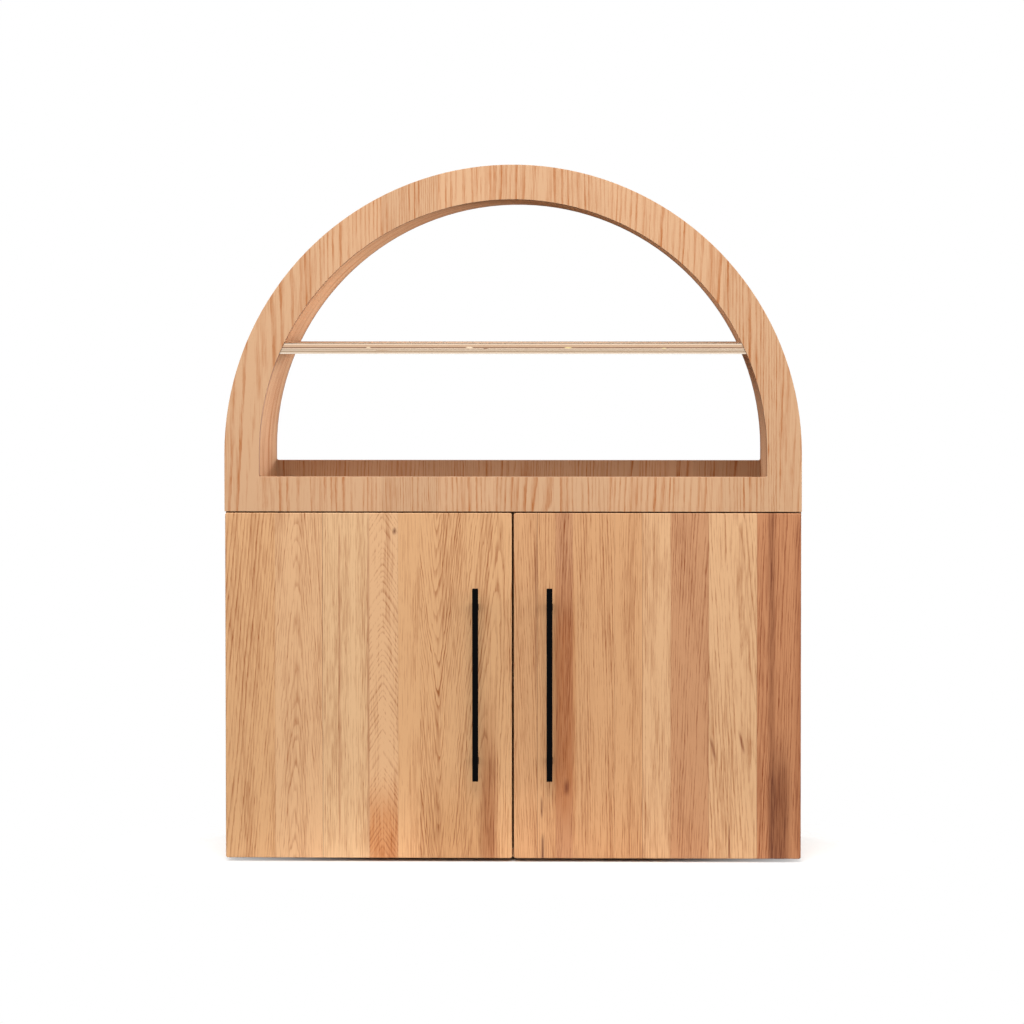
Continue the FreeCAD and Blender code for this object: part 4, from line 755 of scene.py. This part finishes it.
# Metals, plastics and hidden wood: colour, colour where rubbed, metallic, range of roughness, grit and depth of
# the relief in mm, and where they differ from the usual, the specular level and how clear the piece is
finishes = {
    # powder baked on steel: matt, near black, with a fine orange peel
    "black_powder_coat": {"colour": "#060607", "worn": "#161617", "metal": 0, "roughness": (0.5, 0.62),
                          "grit": 0.6, "depth": 0.05, "sheen": 0.04},
    # pressed steel strip, nickel plated: bright and a little warm, with fine rolling lines
    "nickel_plated_steel": {"colour": "#CFC9BE", "worn": "#E4E0D8", "metal": 1, "roughness": (0.22, 0.38),
                            "grit": 0.8, "depth": 0.01},
    # zinc plated screws: bluish and a little duller
    "zinc_plated_steel": {"colour": "#BFC4CA", "worn": "#DDE1E6", "metal": 1, "roughness": (0.3, 0.46),
                          "grit": 0.5, "depth": 0.01},
    # moulded polyethylene feet: waxy black
    "moulded_polyethylene": {"colour": "#1C1C1C", "worn": "#3C3B39", "metal": 0, "roughness": (0.4, 0.55),
                             "grit": 1.2, "depth": 0.03},
    # soft polyurethane dots: milky and half clear
    "soft_polyurethane": {"colour": "#D6D4CC", "worn": "#E8E6DF", "metal": 0, "roughness": (0.3, 0.4),
                          "grit": 1.0, "depth": 0.01, "clear": 0.45},
    # turned beech dowels and sawn spruce blocks, both out of sight inside the joints
    "turned_beech": {"colour": "#C49A72", "worn": "#D9B58F", "metal": 0, "roughness": (0.55, 0.7), "grit": 1.4,
                     "depth": 0.08},
    "sawn_spruce": {"colour": "#CBAA78", "worn": "#E0C595", "metal": 0, "roughness": (0.6, 0.78), "grit": 2.5,
                    "depth": 0.2},
}

# What all of these have: grit, wide soft mottling and rubbed edges
coatMake = {"mottleScale": 0.03, "mottle": 0.86, "wornWidth": 0.8, "sharpest": 0.7, "wornShare": 0.6,
            "relief": 0.5}


def coatSurface(name):
    finish = finishes[name]
    material, tree = newMaterial(name)
    metres = putNode(tree, "ShaderNodeTexCoord").outputs["Object"]
    place = putNode(tree, "ShaderNodeVectorMath", {0: metres, "Scale": 1000 / finish["grit"]},
                    operation="SCALE").outputs[0]
    grit = putNode(tree, "ShaderNodeTexNoise", {"Vector": place, "Scale": 1, "Detail": 3}).outputs["Fac"]
    wide = putNode(tree, "ShaderNodeTexNoise", {
        "Vector": place, "Scale": coatMake["mottleScale"], "Detail": 2}).outputs["Fac"]
    rub = wearEdges(tree, coatMake["wornWidth"], coatMake["sharpest"], coatMake["wornShare"])
    wear = putNode(tree, "ShaderNodeMath", {0: rub, 1: wide}, operation="MULTIPLY").outputs[0]
    base = linearColour(finish["colour"])
    mottled = putNode(tree, "ShaderNodeMix", {0: wide, 6: [part * coatMake["mottle"] for part in base], 7: base},
                      data_type="RGBA").outputs[2]
    colour = putNode(tree, "ShaderNodeMix", {0: wear, 6: mottled, 7: linearColour(finish["worn"])},
                     data_type="RGBA").outputs[2]
    rough = putNode(tree, "ShaderNodeMapRange", {
        0: grit, 1: 0.3, 2: 0.7, 3: finish["roughness"][0], 4: finish["roughness"][1]}).outputs[0]
    relief = putNode(tree, "ShaderNodeBump", {
        "Height": grit, "Strength": coatMake["relief"], "Distance": finish["depth"] * mm})
    surface = putNode(tree, "ShaderNodeBsdfPrincipled", {
        "Base Color": colour, "Roughness": rough, "Normal": relief.outputs[0]})
    surface.inputs["Metallic"].default_value = finish["metal"]
    surface.inputs["Specular IOR Level"].default_value = finish.get("sheen", 0.5)
    surface.inputs["Transmission Weight"].default_value = finish.get("clear", 0)
    putNode(tree, "ShaderNodeOutputMaterial", {"Surface": surface.outputs[0]})
    return material


coated = {name: coatSurface(name) for name in finishes}
finishOf = {
    "plywood_shelf": sawPlywood(), "arch_blocks": coated["sawn_spruce"], "carcass_dowels": coated["turned_beech"],
    "hutch_floor_dowels": coated["turned_beech"], "shelf_dowels": coated["turned_beech"],
    "back_panel_screws": coated["zinc_plated_steel"], "hutch_screws": coated["zinc_plated_steel"],
    "inner_shelf_pins": coated["nickel_plated_steel"], "floor_glides": coated["moulded_polyethylene"],
}
for side in ("left", "right"):
    for part, name in (
            ("handle_bar", "black_powder_coat"), ("handle_posts", "black_powder_coat"),
            ("handle_screws", "zinc_plated_steel"), ("door_bumpers", "soft_polyurethane"),
            ("hinge_cups", "nickel_plated_steel"), ("hinge_pins", "nickel_plated_steel"),
            ("hinge_arms", "nickel_plated_steel"), ("hinge_plates", "nickel_plated_steel"),
            ("cup_screws", "zinc_plated_steel"), ("plate_screws", "zinc_plated_steel"),
            ("arm_screws", "zinc_plated_steel")):
        finishOf[f"{side}_{part}"] = coated[name]
dressPieces(finishOf)
print("stage: plywood, metals and plastics finished")
